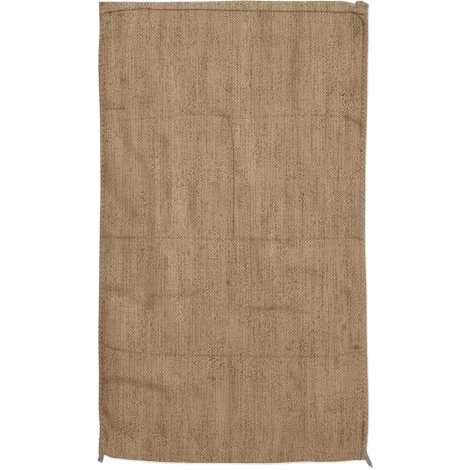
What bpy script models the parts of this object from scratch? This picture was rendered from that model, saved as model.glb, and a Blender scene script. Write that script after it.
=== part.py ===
"""An empty jute sack lying flat on a surface, its mouth towards +Y.

One length of cloth is folded up at the bottom, turned outwards in a hem round the mouth, and
closed down each side by an overedged seam. Each seam is a band of chained twine that wraps
both layers' edges and runs on as a short free tail below the bottom fold.

Sizes are in metres. +X is across the sack, +Z is up, and z = 0 is the surface that it lies on.
"""

import math
from enum import Enum
from typing import Callable, NamedTuple

import bmesh
import bpy
import numpy as np

# The cloth
CLOTH = 0.0014              # thickness
HEM_DEPTH = 0.0225          # depth of the turned hem at the mouth
HEM_GAP = 0.00045           # between a hem and the layer that it lies on
HEM_RAMP = 0.016            # stretch over which the layers climb onto the hem
SEAM_GAP = 0.0005           # between the two layers inside a seam

# Room between the front and the back layer
ROOM_MIDDLE = 0.0086
ROOM_MOUTH = 0.0058
ROOM_FOLD = 0.0050
ROOM_REACH = 0.045          # from a seam to where the room is full
FOLD_REACH = 0.070          # the same, from the bottom fold
MOUTH_REACH = 0.090         # the same, from the mouth

# The seams
SEAM_WALL = 0.0010          # twine above and below the cloth
SEAM_CLEARANCE = 0.0003     # between the twine and the cloth
SEAM_WIDTH = 0.0118
SEAM_LET_GO = 0.0010        # cloth stays pressed this far past the band's inner side
PRESS_REACH = 0.014         # stretch over which the cloth comes back to the surface
EDGE_INSET = 0.0021         # from the band's outer side to the cloth's edge
EDGE_CLEARANCE = 0.0006     # between the cloth's edge and the twine round it
STITCH_PITCH = 0.0123
SCALLOP = 0.0006            # swing of the band's outer side at each stitch
STITCH_RISE = 0.0002        # swing of the band's top at each stitch
CORNER_WIDTH = 0.0210       # the right seam's band at the mouth, where its corner is caught in
CORNER_LOW = 0.470
CORNER_HIGH = 0.497
TAIL_HEIGHT = 0.0030

# Grid lines of the cloth
WIDTH = 0.600
ROW_STEP = 0.030
CREASE_STEP = 0.0085
CREASE_BAND = 0.013
END_STEP = 0.0125           # near the bottom, where the sides swing out
END_BAND = 0.090
BACK_STEP = 0.040
SLOT_STEP = 0.0125
TURN_STEPS = 4              # steps round each hem's turn
FOLD_STEPS = 6              # steps round the bottom fold


class Layer(Enum):
    """The stretches of cloth, in order from the front hem's raw edge to the back hem's."""

    FRONT_HEM = 0
    FRONT_TURN = 1
    FRONT = 2
    BOTTOM = 3
    BACK = 4
    BACK_TURN = 5
    BACK_HEM = 6


class SideEdge(NamedTuple):
    """Where the sack's two sides run at one height."""

    y: float
    left: float
    right: float


class EndEdge(NamedTuple):
    """Where the mouth and the bottom fold run at one place across."""

    x: float
    mouth: float
    fold: float


class Crease(NamedTuple):
    """A soft trough in the front layer, through a few points."""

    route: tuple[tuple[float, float], ...]
    depth: float
    reach: float


class Swell(NamedTuple):
    """A soft rise in the front layer, leaning anticlockwise from +Y by an angle in degrees."""

    x: float
    y: float
    half_width: float
    half_length: float
    lean: float
    rise: float


class TailSection(NamedTuple):
    """A section of a seam's band towards and along its free tail; turn is in degrees."""

    x: float
    y: float
    width: float
    height: float
    turn: float


SIDE_EDGES = (
    SideEdge(-0.508, -0.3048, 0.2936),
    SideEdge(-0.483, -0.3048, 0.2966),
    SideEdge(-0.439, -0.3025, 0.2999),
    SideEdge(-0.394, -0.3043, 0.3008),
    SideEdge(-0.327, -0.3040, 0.2994),
    SideEdge(-0.237, -0.3053, 0.2974),
    SideEdge(-0.125, -0.3038, 0.2963),
    SideEdge(-0.013, -0.3026, 0.2932),
    SideEdge(0.099, -0.3008, 0.2938),
    SideEdge(0.188, -0.3012, 0.2950),
    SideEdge(0.255, -0.3018, 0.2970),
    SideEdge(0.345, -0.3046, 0.2989),
    SideEdge(0.390, -0.3054, 0.2995),
    SideEdge(0.457, -0.3028, 0.3008),
    SideEdge(0.520, -0.3036, 0.2988),
)

END_EDGES = (
    EndEdge(-0.305, 0.5209, -0.4940),
    EndEdge(-0.292, 0.5209, -0.4945),
    EndEdge(-0.283, 0.5208, -0.4992),
    EndEdge(-0.247, 0.5202, -0.5044),
    EndEdge(-0.194, 0.5196, -0.5092),
    EndEdge(-0.120, 0.5204, -0.5126),
    EndEdge(-0.023, 0.5217, -0.5132),
    EndEdge(0.022, 0.5228, -0.5134),
    EndEdge(0.075, 0.5222, -0.5138),
    EndEdge(0.147, 0.5215, -0.5107),
    EndEdge(0.218, 0.5223, -0.5103),
    EndEdge(0.254, 0.5206, -0.5087),
    EndEdge(0.268, 0.5182, -0.5078),
    EndEdge(0.280, 0.5212, -0.5069),
    EndEdge(0.300, 0.5215, -0.5062),
)

CREASES = (
    Crease(((-0.294, 0.270), (-0.225, 0.256), (-0.140, 0.262), (-0.040, 0.266), (0.065, 0.261),
            (0.160, 0.266), (0.235, 0.264), (0.262, 0.262), (0.290, 0.247)), 0.0009, 0.0095),
    Crease(((-0.296, -0.0065), (-0.180, -0.0080), (-0.060, -0.0110), (0.060, -0.0120),
            (0.180, -0.0100), (0.288, -0.0075)), 0.0014, 0.0080),
    Crease(((-0.296, -0.2500), (-0.256, -0.2600), (-0.189, -0.2685), (-0.010, -0.2730),
            (0.225, -0.2740), (0.259, -0.2665), (0.288, -0.2640)), 0.0016, 0.0080),
    Crease(((-0.014, 0.260), (-0.004, 0.224), (-0.0015, 0.090), (-0.0013, -0.125)), 0.0013, 0.0085),
    Crease(((-0.0100, -0.273), (-0.0075, -0.380), (-0.0105, -0.480)), 0.0006, 0.0100),
)

SWELLS = (
    Swell(-0.236, 0.145, 0.028, 0.095, -14.0, 0.0013),
    Swell(-0.120, 0.120, 0.045, 0.110, 0.0, 0.0008),
    Swell(0.035, 0.150, 0.024, 0.120, -8.0, 0.0011),
    Swell(-0.248, -0.180, 0.034, 0.050, 25.0, 0.0012),
    Swell(0.110, 0.100, 0.060, 0.100, 10.0, 0.0007),
    Swell(-0.100, -0.130, 0.050, 0.080, 0.0, 0.0008),
    Swell(0.140, -0.120, 0.080, 0.080, 0.0, 0.0006),
    Swell(0.060, 0.380, 0.050, 0.080, 0.0, 0.0008),
    Swell(0.215, 0.390, 0.040, 0.080, 0.0, 0.0007),
    Swell(-0.150, -0.380, 0.070, 0.060, 60.0, 0.0008),
    Swell(0.120, -0.400, 0.080, 0.070, 0.0, 0.0006),
)

LEFT_TAIL = (
    TailSection(-0.2991, -0.4970, 0.0116, 0.0058, -2.0),
    TailSection(-0.3001, -0.5035, 0.0110, 0.0040, -13.0),
    TailSection(-0.3034, -0.5104, 0.0146, TAIL_HEIGHT, -32.0),
)

RIGHT_TAIL = (
    TailSection(0.2925, -0.4850, 0.0088, 0.0059, 5.0),
    TailSection(0.2950, -0.4940, 0.0084, 0.0059, 16.0),
    TailSection(0.2981, -0.5020, 0.0088, 0.0052, 23.0),
    TailSection(0.3032, -0.5130, 0.0094, 0.0036, 25.0),
    TailSection(0.3063, -0.5195, 0.0086, TAIL_HEIGHT, 24.0),
    TailSection(0.3079, -0.5226, 0.0040, 0.0022, 24.0),
)

CLOTH_COLOUR = (0.355, 0.238, 0.142)
TWINE_COLOUR = (0.300, 0.192, 0.110)
CLOTH_ROUGHNESS = 0.92
TWINE_ROUGHNESS = 0.88
SHARP_ANGLE = math.radians(40)


def smooth(share: np.ndarray) -> np.ndarray:
    """An even start and end between 0 and 1."""
    share = np.clip(share, 0.0, 1.0)
    return share * share * (3.0 - 2.0 * share)


def through(at: np.ndarray, keys: np.ndarray, values: np.ndarray) -> np.ndarray:
    """The value at each place on the smooth curve through a table's rows."""
    slopes = np.gradient(values, keys)
    row = np.clip(np.searchsorted(keys, at) - 1, 0, len(keys) - 2)
    span = keys[row + 1] - keys[row]
    share = np.clip((at - keys[row]) / span, 0.0, 1.0)
    start = (1.0 + 2.0 * share) * (1.0 - share) ** 2
    leave = share * (1.0 - share) ** 2
    arrive = share**2 * (share - 1.0)
    return (values[row] * start + values[row + 1] * (1.0 - start)
            + span * (slopes[row] * leave + slopes[row + 1] * arrive))


def column(table: tuple, name: str) -> np.ndarray:
    """One named column of a table."""
    return np.array([getattr(row, name) for row in table])


def side_edge(side: int, y: np.ndarray) -> np.ndarray:
    """The outer side of a seam's band: side is -1 on the left and 1 on the right."""
    name = "left" if side < 0 else "right"
    return through(y, column(SIDE_EDGES, "y"), column(SIDE_EDGES, name))


def mouth_edge(x: np.ndarray) -> np.ndarray:
    """The top of the hem."""
    return through(x, column(END_EDGES, "x"), column(END_EDGES, "mouth"))


def fold_edge(x: np.ndarray) -> np.ndarray:
    """The outside of the bottom fold."""
    return through(x, column(END_EDGES, "x"), column(END_EDGES, "fold"))


def seam_width(side: int, y: np.ndarray) -> np.ndarray:
    """How wide a seam's band is: the right one broadens at the mouth."""
    broad = smooth((y - CORNER_LOW) / (CORNER_HIGH - CORNER_LOW)) if side > 0 else 0.0 * y
    return SEAM_WIDTH + (CORNER_WIDTH - SEAM_WIDTH) * broad


def past_seam(x: np.ndarray, y: np.ndarray) -> np.ndarray:
    """How far a point of the cloth lies inside the nearer band's inner side."""
    left = x - side_edge(-1, y) - seam_width(-1, y)
    right = side_edge(1, y) - x - seam_width(1, y)
    return np.minimum(left, right) - SEAM_LET_GO


def on_hem(y: np.ndarray) -> np.ndarray:
    """1 where the layers lie on the back hem, 0 below it, on a straight ramp between."""
    low = float(mouth_edge(np.array(0.0))) - HEM_DEPTH - HEM_RAMP
    return np.clip((y - low) / (HEM_RAMP - 2.0 * CLOTH), 0.0, 1.0)


def crease_depth(crease: Crease, x: np.ndarray, y: np.ndarray) -> np.ndarray:
    """How deep a crease is at each point."""
    nearest = np.full(np.shape(x), np.inf)
    for (ax, ay), (bx, by) in zip(crease.route, crease.route[1:]):
        run_x, run_y = bx - ax, by - ay
        share = ((x - ax) * run_x + (y - ay) * run_y) / (run_x**2 + run_y**2)
        share = np.clip(share, 0.0, 1.0)
        nearest = np.minimum(nearest, np.hypot(x - ax - share * run_x, y - ay - share * run_y))
    return crease.depth * np.exp(-((nearest / crease.reach) ** 2))


def swell_rise(swell: Swell, x: np.ndarray, y: np.ndarray) -> np.ndarray:
    """How high a swell is at each point."""
    lean = math.radians(swell.lean)
    across = (x - swell.x) * math.cos(lean) + (y - swell.y) * math.sin(lean)
    along = (y - swell.y) * math.cos(lean) - (x - swell.x) * math.sin(lean)
    return swell.rise * np.exp(-((across / swell.half_width) ** 2) - (along / swell.half_length) ** 2)


def room(x: np.ndarray, y: np.ndarray) -> np.ndarray:
    """The room between the front and the back layer."""
    from_fold = smooth((y - fold_edge(x)) / FOLD_REACH)
    from_mouth = smooth((mouth_edge(x) - y) / MOUTH_REACH)
    along = ROOM_FOLD + (ROOM_MIDDLE - ROOM_FOLD) * from_fold
    along -= (ROOM_MIDDLE - ROOM_MOUTH) * (1.0 - from_mouth)
    troughs = np.max([crease_depth(crease, x, y) for crease in CREASES], axis=0)
    rises = np.sum([swell_rise(swell, x, y) for swell in SWELLS], axis=0)
    loose = smooth(past_seam(x, y) / ROOM_REACH)
    nearly_loose = smooth(past_seam(x, y) / PRESS_REACH)
    return SEAM_GAP + (along - SEAM_GAP + rises) * loose - troughs * loose * nearly_loose


def layer_heights(x: np.ndarray, y: np.ndarray) -> dict[Layer, np.ndarray]:
    """The middle of each layer's thickness above the surface."""
    pressed = 1.0 - smooth(past_seam(x, y) / PRESS_REACH)
    lowest = CLOTH / 2 + (SEAM_WALL + SEAM_CLEARANCE) * pressed
    back = lowest + (CLOTH + HEM_GAP) * on_hem(y)
    front = back + CLOTH + room(x, y)
    return {Layer.BACK_HEM: lowest, Layer.BACK: back, Layer.FRONT: front,
            Layer.FRONT_HEM: front + CLOTH + HEM_GAP}


def cloth_columns() -> np.ndarray:
    """Places across the cloth as shares of its width, closer at the seams and the middle crease."""
    from_edge = np.array([0.0, 0.0105, 0.0165, 0.0245, 0.037, 0.057, 0.085, 0.120, 0.160, 0.205,
                          0.250, 0.281, 0.292])
    left = from_edge / WIDTH
    return np.concatenate([left, [0.5], 1.0 - left[::-1]])


def front_rows(top: float, bottom: float) -> np.ndarray:
    """Heights of the front layer's rows from the mouth down, closer at the cross creases."""
    levels = [point[1] for crease in CREASES[:3] for point in crease.route]
    rows = [top, top - HEM_DEPTH / 2]
    for step in np.linspace(0.0, HEM_RAMP, 3):
        rows.append(top - HEM_DEPTH - step)
    while rows[-1] > bottom:
        near = min(abs(rows[-1] - CREASE_STEP - level) for level in levels) < CREASE_BAND
        low = rows[-1] < bottom + END_BAND
        rows.append(rows[-1] - (CREASE_STEP if near else END_STEP if low else ROW_STEP))
    rows = [row for row in rows if row > bottom + END_STEP / 2]
    return np.array(rows + [bottom])


def back_rows(bottom: float, top: float) -> np.ndarray:
    """Heights of the back layer's rows from the bottom up."""
    foot = top - HEM_DEPTH - HEM_RAMP
    low = np.arange(bottom, bottom + END_BAND, END_STEP)
    plain = np.linspace(bottom + END_BAND, foot, round((foot - bottom - END_BAND) / BACK_STEP))
    climb = foot + np.linspace(HEM_RAMP / 2, HEM_RAMP, 2)
    return np.concatenate([low, plain, climb, [top - HEM_DEPTH / 2, top]])


def cloth_rows() -> list[tuple[Layer, float]]:
    """Each row of the cloth: its layer, and its height, or its share of the way round a turn."""
    middle = np.array(0.0)
    top = float(mouth_edge(middle)) - CLOTH - HEM_GAP / 2
    bottom = float(fold_edge(middle)) + CLOTH + ROOM_FOLD / 2
    raw_edge = top - HEM_DEPTH
    hem = np.linspace(raw_edge, top, 4)
    turn = np.linspace(0.0, 1.0, TURN_STEPS + 1)[1:-1]
    fold = np.linspace(0.0, 1.0, FOLD_STEPS + 1)[1:-1]
    rows = [(Layer.FRONT_HEM, y) for y in hem]
    rows += [(Layer.FRONT_TURN, share) for share in turn]
    rows += [(Layer.FRONT, y) for y in front_rows(top, bottom)]
    rows += [(Layer.BOTTOM, share) for share in fold]
    rows += [(Layer.BACK, y) for y in back_rows(bottom, top)]
    rows += [(Layer.BACK_TURN, share) for share in turn]
    rows += [(Layer.BACK_HEM, y) for y in hem[::-1]]
    return rows


def across_at(share: np.ndarray, height_of: Callable[[np.ndarray], np.ndarray]
              ) -> tuple[np.ndarray, np.ndarray]:
    """Places across the cloth, and their heights, along a line whose height depends on where it is."""
    x = (share - 0.5) * WIDTH
    for _ in range(3):
        y = height_of(x)
        left = side_edge(-1, y) + EDGE_INSET
        right = side_edge(1, y) - EDGE_INSET
        x = left + share * (right - left)
    return x, y


def mouth_row(share: np.ndarray, around: float, upper: Layer, lower: Layer) -> np.ndarray:
    """A row of a hem's turn, around from its upper to its lower layer."""
    radius = (CLOTH + HEM_GAP) / 2
    x, centre = across_at(share, lambda x: mouth_edge(x) - CLOTH / 2 - radius)
    heights = layer_heights(x, centre)
    middle = (heights[upper] + heights[lower]) / 2
    y = centre + radius * math.sin(math.pi * around)
    return np.column_stack([x, y, middle + radius * math.cos(math.pi * around)])


def fold_radius(x: np.ndarray) -> np.ndarray:
    """The radius of the bottom fold at the middle of the cloth's thickness."""
    radius = CLOTH
    for _ in range(4):
        radius = (CLOTH + room(x, fold_edge(x) + CLOTH / 2 + radius)) / 2
    return radius


def bottom_row(share: np.ndarray, around: float) -> np.ndarray:
    """A row of the bottom fold, around from the front layer to the back one."""
    x, centre = across_at(share, lambda x: fold_edge(x) + CLOTH / 2 + fold_radius(x))
    radius = fold_radius(x)
    heights = layer_heights(x, centre)
    middle = (heights[Layer.FRONT] + heights[Layer.BACK]) / 2
    y = centre - radius * math.sin(math.pi * around)
    return np.column_stack([x, y, middle + radius * math.cos(math.pi * around)])


def level_row(share: np.ndarray, layer: Layer, level: float) -> np.ndarray:
    """A row of a hem, the front or the back, which follows the ends of the sack near them."""
    top = mouth_row(share, 0.0, Layer.FRONT_HEM, Layer.FRONT)[:, 1]
    bottom = bottom_row(share, 0.0)[:, 1]
    middle = len(share) // 2
    to_mouth = smooth(1.0 - (top[middle] - level) / MOUTH_REACH)
    to_fold = smooth(1.0 - (level - bottom[middle]) / MOUTH_REACH)
    bend = (top - top[middle]) * to_mouth + (bottom - bottom[middle]) * to_fold
    x, y = across_at(share, lambda x: level + bend)
    return np.column_stack([x, y, layer_heights(x, y)[layer]])


def cloth_row(share: np.ndarray, layer: Layer, place: float) -> np.ndarray:
    """The points of one row of the cloth, at the middle of its thickness."""
    if layer is Layer.FRONT_TURN:
        return mouth_row(share, place, Layer.FRONT_HEM, Layer.FRONT)
    if layer is Layer.BACK_TURN:
        return mouth_row(share, place, Layer.BACK, Layer.BACK_HEM)
    if layer is Layer.BOTTOM:
        return bottom_row(share, place)
    return level_row(share, layer, place)


def seam_height(y: np.ndarray) -> np.ndarray:
    """How high a seam's band stands: it is thicker over the four layers of the hem."""
    plain = 2.0 * (SEAM_WALL + SEAM_CLEARANCE + CLOTH) + SEAM_GAP
    return plain + 2.0 * (CLOTH + HEM_GAP) * on_hem(y)


def seam_levels(side: int) -> np.ndarray:
    """Heights of a band's sections, two to a stitch, from the mouth to where its tail begins."""
    top = float(mouth_edge(side_edge(side, np.array(0.5)))) + SEAM_CLEARANCE
    bottom = (LEFT_TAIL if side < 0 else RIGHT_TAIL)[0].y + STITCH_PITCH / 2
    stitches = np.arange(top, bottom, -STITCH_PITCH / 2)
    foot = float(mouth_edge(np.array(0.0))) - HEM_DEPTH - HEM_RAMP
    return np.unique(np.concatenate([stitches, [foot, foot + HEM_RAMP - 2.0 * CLOTH]]))[::-1]


def band_ring(x: float, y: float, width: float, height: float, turn: float,
              side: int) -> np.ndarray:
    """One section of a band: flat below, flat on its inner side, and rounded on its outer side."""
    shape = np.array([(0.0, 0.7), (0.0, 0.3), (0.11, 0.0), (1.0, 0.0), (1.0, 1.0), (0.11, 1.0)])
    across = side * (0.5 - shape[:, 0]) * width
    angle = math.radians(turn)
    return np.column_stack([x + across * math.cos(angle), y + across * math.sin(angle),
                            shape[:, 1] * height])


def seam_rings(side: int) -> list[np.ndarray]:
    """A band's sections from the mouth to the end of its tail."""
    y = seam_levels(side)
    wave = np.cos(2.0 * np.pi * (y[0] - y) / STITCH_PITCH)
    outer = side_edge(side, y) + side * SCALLOP * wave
    width = seam_width(side, y) + SCALLOP * wave
    height = seam_height(y) + STITCH_RISE * wave
    rings = [band_ring(outer[i] - side * width[i] / 2, y[i], width[i], height[i], 0.0, side)
             for i in range(len(y))]
    tail = LEFT_TAIL if side < 0 else RIGHT_TAIL
    return rings + [band_ring(*section, side) for section in tail]


def slot_rings(side: int) -> list[np.ndarray]:
    """Sections of the slot in a band that the cloth's edges lie in."""
    foot = float(mouth_edge(np.array(0.0))) - HEM_DEPTH - HEM_RAMP
    across = side_edge(side, np.array(-0.5)) - side * np.array([0.0, SEAM_WIDTH])
    end = float(np.min(fold_edge(across))) - SEAM_CLEARANCE
    start = np.array([mouth_edge(np.array(0.0)) + HEM_DEPTH])
    plain = np.linspace(foot, end, round((foot - end) / SLOT_STEP))
    y = np.concatenate([start, [foot + HEM_RAMP, foot + HEM_RAMP - 2.0 * CLOTH], plain])
    outer = side_edge(side, y) - side * (EDGE_INSET - EDGE_CLEARANCE)
    inner = side_edge(side, y) - side * (seam_width(side, y) + PRESS_REACH)
    top = seam_height(y) - SEAM_WALL
    return [np.array([(outer[i], y[i], SEAM_WALL), (inner[i], y[i], SEAM_WALL),
                      (inner[i], y[i], top[i]), (outer[i], y[i], top[i])]) for i in range(len(y))]


def shaped_grid(name: str, columns: int, rows: int,
                place: Callable[[int, int], np.ndarray]) -> bpy.types.Object:
    """A grid whose points are put where a function of their column and row says."""
    bpy.ops.mesh.primitive_grid_add(x_subdivisions=columns - 1, y_subdivisions=rows - 1, size=2.0)
    piece = bpy.context.active_object
    piece.name = piece.data.name = name
    for vertex in piece.data.vertices:
        column_index = round((vertex.co.x + 1.0) / 2.0 * (columns - 1))
        row_index = round((vertex.co.y + 1.0) / 2.0 * (rows - 1))
        vertex.co = place(column_index, row_index)
    return piece


def closed_loft(name: str, rings: list[np.ndarray]) -> bpy.types.Object:
    """A solid through a list of rings, closed at both ends."""
    count = len(rings[0])
    piece = shaped_grid(name, count + 1, len(rings), lambda i, j: rings[j][i % count])
    mesh = bmesh.new()
    mesh.from_mesh(piece.data)
    bmesh.ops.remove_doubles(mesh, verts=mesh.verts[:], dist=0.000001)
    ends = [edge for edge in mesh.edges if edge.is_boundary]
    bmesh.ops.holes_fill(mesh, edges=ends, sides=0)
    bmesh.ops.recalc_face_normals(mesh, faces=mesh.faces[:])
    mesh.to_mesh(piece.data)
    mesh.free()
    return piece


def finish(name: str, colour: tuple[float, float, float], roughness: float) -> bpy.types.Material:
    """A plain material."""
    material = bpy.data.materials.new(name)
    material.use_nodes = True
    shader = material.node_tree.nodes["Principled BSDF"]
    shader.inputs["Base Color"].default_value = (*colour, 1.0)
    shader.inputs["Roughness"].default_value = roughness
    shader.inputs["Metallic"].default_value = 0.0
    material.diffuse_color = (*colour, 1.0)
    return material


def file_under(piece: bpy.types.Object, collection: bpy.types.Collection) -> None:
    """Move an object into a collection."""
    for owner in list(piece.users_collection):
        owner.objects.unlink(piece)
    collection.objects.link(piece)


def make_cloth(material: bpy.types.Material) -> bpy.types.Object:
    """The sack's one length of cloth, folded, with its hem turned outwards."""
    share = cloth_columns()
    points = [cloth_row(share, layer, place) for layer, place in cloth_rows()]
    piece = shaped_grid("sack_cloth", len(share), len(points), lambda i, j: points[j][i])
    wall = piece.modifiers.new("Thickness", "SOLIDIFY")
    wall.thickness = CLOTH
    wall.offset = 0.0
    wall.use_even_offset = True
    piece.data.materials.append(material)
    piece.data.shade_smooth()
    return piece


def make_seam(side: int, material: bpy.types.Material) -> tuple[bpy.types.Object, bpy.types.Object]:
    """A seam's band with its tail, and the cutter for the slot that the cloth lies in."""
    word = "left" if side < 0 else "right"
    band = closed_loft(f"seam_{word}", seam_rings(side))
    slot = closed_loft(f"slot_{word}", slot_rings(side))
    slot.hide_render = True
    slot.display_type = "WIRE"
    cut = band.modifiers.new("Slot for the cloth", "BOOLEAN")
    cut.operation = "DIFFERENCE"
    cut.object = slot
    band.data.materials.append(material)
    band.data.shade_smooth()
    band.data.set_sharp_from_angle(angle=SHARP_ANGLE)
    return band, slot


def main() -> None:
    """Clear the scene and build the sack."""
    for item in list(bpy.data.objects):
        bpy.data.objects.remove(item, do_unlink=True)
    sack = bpy.data.collections.new("jute_sack")
    cutters = bpy.data.collections.new("cutters")
    for collection in (sack, cutters):
        bpy.context.scene.collection.children.link(collection)
    cloth_finish = finish("jute cloth", CLOTH_COLOUR, CLOTH_ROUGHNESS)
    twine_finish = finish("jute twine", TWINE_COLOUR, TWINE_ROUGHNESS)
    file_under(make_cloth(cloth_finish), sack)
    for side in (-1, 1):
        band, slot = make_seam(side, twine_finish)
        file_under(band, sack)
        file_under(slot, cutters)


main()
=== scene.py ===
"""An empty jute sack lying flat on a pale floor, its mouth towards +Y, seen from straight above.

The sack is one length of sacking folded up at the bottom, hemmed round the mouth and closed down
each side by an overhand seam of twine. Sizes are in metres: +X is across the sack, +Z is up, and
z = 0 is the floor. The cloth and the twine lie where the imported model's solids are.
"""

import logging
import math
from dataclasses import dataclass, field
from enum import Enum
from typing import Any, Callable, NamedTuple, Sequence

import bpy
import numpy as np
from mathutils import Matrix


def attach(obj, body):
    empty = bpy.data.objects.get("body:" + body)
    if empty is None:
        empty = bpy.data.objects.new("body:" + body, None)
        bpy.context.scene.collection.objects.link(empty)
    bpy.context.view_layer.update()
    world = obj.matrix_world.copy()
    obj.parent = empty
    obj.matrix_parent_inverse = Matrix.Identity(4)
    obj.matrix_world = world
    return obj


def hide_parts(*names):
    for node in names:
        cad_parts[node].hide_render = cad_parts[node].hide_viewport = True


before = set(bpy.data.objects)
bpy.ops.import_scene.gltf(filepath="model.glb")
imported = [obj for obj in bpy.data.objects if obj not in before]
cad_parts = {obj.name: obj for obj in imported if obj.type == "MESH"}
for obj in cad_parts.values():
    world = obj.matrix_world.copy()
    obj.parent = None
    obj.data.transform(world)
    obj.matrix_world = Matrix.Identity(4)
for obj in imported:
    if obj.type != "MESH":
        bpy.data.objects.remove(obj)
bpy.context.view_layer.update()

CLOTH_MAP = "cloth"
TWINE_MAP = "twine"
# painted shade and casts of colour, kept on each piece's points
SHADE_AND_TINT = "shade_and_tint"
# painted shade at the bottom of the creases and painted shadow below the front hem, kept on the cloth's
# points
PAINTED_SHADE = "painted_shade"
CLOTH_SLOT = "jute_cloth"
TWINE_SLOT = "jute_twine"
BODY = "root"
MERGE_DISTANCE = 0.000002

log = logging.getLogger("jute_sack")

Pair = tuple[float, float]
Triple = tuple[float, float, float]
Colour = Triple
Route = tuple[Pair, ...]
Array = np.ndarray
Draws = np.random.Generator
Piece = bpy.types.Object
Socket = bpy.types.NodeSocket


# ---- Curves and smooth steps ----

def smooth(share: Array) -> Array:
    """An even start and end between 0 and 1."""
    share = np.clip(share, 0.0, 1.0)
    return share * share * (3.0 - 2.0 * share)


def through(at: Array, keys: Array, values: Array) -> Array:
    """Read the smooth curve through a table's rows.

    Args:
        at: the places to read it at.
        keys: the rows' places, rising.
        values: the rows' values.

    Returns:
        The curve's value at each place.
    """
    slopes = np.gradient(values, keys)
    row = np.clip(np.searchsorted(keys, at) - 1, 0, len(keys) - 2)
    span = keys[row + 1] - keys[row]
    share = np.clip((at - keys[row]) / span, 0.0, 1.0)
    start = (1.0 + 2.0 * share) * (1.0 - share) ** 2
    leave = share * (1.0 - share) ** 2
    arrive = share**2 * (share - 1.0)
    return (values[row] * start + values[row + 1] * (1.0 - start)
            + span * (slopes[row] * leave + slopes[row + 1] * arrive))


def column(table: Sequence[Any], name: str) -> Array:
    """One named column of a table."""
    return np.array([getattr(row, name) for row in table])


def rows_of(kind: Callable[..., Any], *rows: tuple[Any, ...]) -> tuple[Any, ...]:
    """Turn rows of numbers into a table whose rows are all of one kind."""
    return tuple(kind(*row) for row in rows)


def read(table: Sequence[Any], by: str, name: str, at: Array) -> Array:
    """Read one column of a table at places in another, on a smooth curve through its rows."""
    return through(at, column(table, by), column(table, name))


def fading(away: Array, reach: float | Array) -> Array:
    """1 on a line, and fading to nothing on both sides of it, a little past its reach."""
    return np.exp(-((away / reach) ** 2))


def oval_share(oval: "Swell | StainAndShadePatch", x: Array, y: Array) -> Array:
    """How much of a leaning oval is felt at points: 1 at its middle, fading outwards."""
    lean = math.radians(oval.lean)
    across = (x - oval.x) * math.cos(lean) + (y - oval.y) * math.sin(lean)
    along = (y - oval.y) * math.cos(lean) - (x - oval.x) * math.sin(lean)
    return np.exp(-((across / oval.half_width) ** 2) - (along / oval.half_length) ** 2)


def with_cast(casts: Array, cast: Colour, share: Array) -> Array:
    """Give colours a further cast, each by its own share."""
    return casts * (1.0 + (np.array(cast) - 1.0) * share[..., None])


def curve_through(points: Array, steps: int) -> Array:
    """Draw a smooth curve through points.

    Args:
        points: the points, one to a row.
        steps: how many steps there are from one point to the next.

    Returns:
        The curve's points.
    """
    padded = np.vstack([2.0 * points[0] - points[1], points, 2.0 * points[-1] - points[-2]])
    before, start, end, after = (padded[i:len(padded) - 3 + i, None] for i in range(4))
    share = (np.arange(steps) / steps)[None, :, None]
    curve = 0.5 * (2.0 * start + (end - before) * share
                   + (2.0 * before - 5.0 * start + 4.0 * end - after) * share**2
                   + (3.0 * start - before - 3.0 * end + after) * share**3)
    return np.vstack([curve.reshape(-1, points.shape[1]), points[-1:]])


def points_of(numbers: Sequence[float]) -> Route:
    """The points of a route whose x and y are given in turn, in millimetres."""
    return tuple((x / 1000.0, y / 1000.0) for x, y in zip(numbers[::2], numbers[1::2]))


def lowered(numbers: Sequence[float], by: float) -> tuple[float, ...]:
    """The numbers of such a route, moved down by some millimetres."""
    return tuple(number - by * (k % 2) for k, number in enumerate(numbers))


def distance_from(route: Route, x: Array, y: Array) -> tuple[Array, Array]:
    """Find how far points lie from a line of straight lengths.

    Args:
        route: the line's corners.
        x: the points' places across.
        y: the points' places along.

    Returns:
        The distances, and whether each point lies on the line's left.
    """
    nearest, on_left = np.full(np.shape(x), np.inf), np.zeros(np.shape(x), dtype=bool)
    for (ax, ay), (bx, by) in zip(route, route[1:]):
        run_x, run_y = bx - ax, by - ay
        share = np.clip(((x - ax) * run_x + (y - ay) * run_y) / (run_x**2 + run_y**2), 0.0, 1.0)
        off_x, off_y = x - ax - share * run_x, y - ay - share * run_y
        away = np.hypot(off_x, off_y)
        on_left = np.where(away < nearest, run_x * off_y - run_y * off_x > 0.0, on_left)
        nearest = np.minimum(nearest, away)
    return nearest, on_left


class SoftNoise:
    """Smooth uneven values between -1 and 1 over the plane, the same on each run."""

    SPAN = 1.6
    CELLS_KEPT = 2

    def __init__(self, seed: int, step_x: float, step_y: float) -> None:
        """Draw the values at the corners of a lattice with the given steps."""
        self.steps = np.array([step_x, step_y])
        size = (self.SPAN / self.steps).astype(int) + self.CELLS_KEPT
        self.corners = np.random.default_rng(seed).uniform(-1.0, 1.0, size)

    def at(self, x: Array, y: Array) -> Array:
        """Read the values at points of the plane.

        Args:
            x: the points' places across.
            y: the points' places along.

        Returns:
            A value for each point.
        """
        across = (np.asarray(x) + self.SPAN / 2) / self.steps[0]
        along = (np.asarray(y) + self.SPAN / 2) / self.steps[1]
        i = np.clip(np.floor(across).astype(int), 0, self.corners.shape[0] - 2)
        j = np.clip(np.floor(along).astype(int), 0, self.corners.shape[1] - 2)
        part_x, part_y = smooth(across - i), smooth(along - j)
        low = self.corners[i, j] * (1.0 - part_x) + self.corners[i + 1, j] * part_x
        high = self.corners[i, j + 1] * (1.0 - part_x) + self.corners[i + 1, j + 1] * part_x
        return low * (1.0 - part_y) + high * part_y


# ---- Mesh making ----

def deselect_all() -> None:
    """Leave nothing selected, in object mode."""
    if bpy.context.object and bpy.context.object.mode != "OBJECT":
        bpy.ops.object.mode_set(mode="OBJECT")
    bpy.ops.object.select_all(action="DESELECT")


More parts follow.
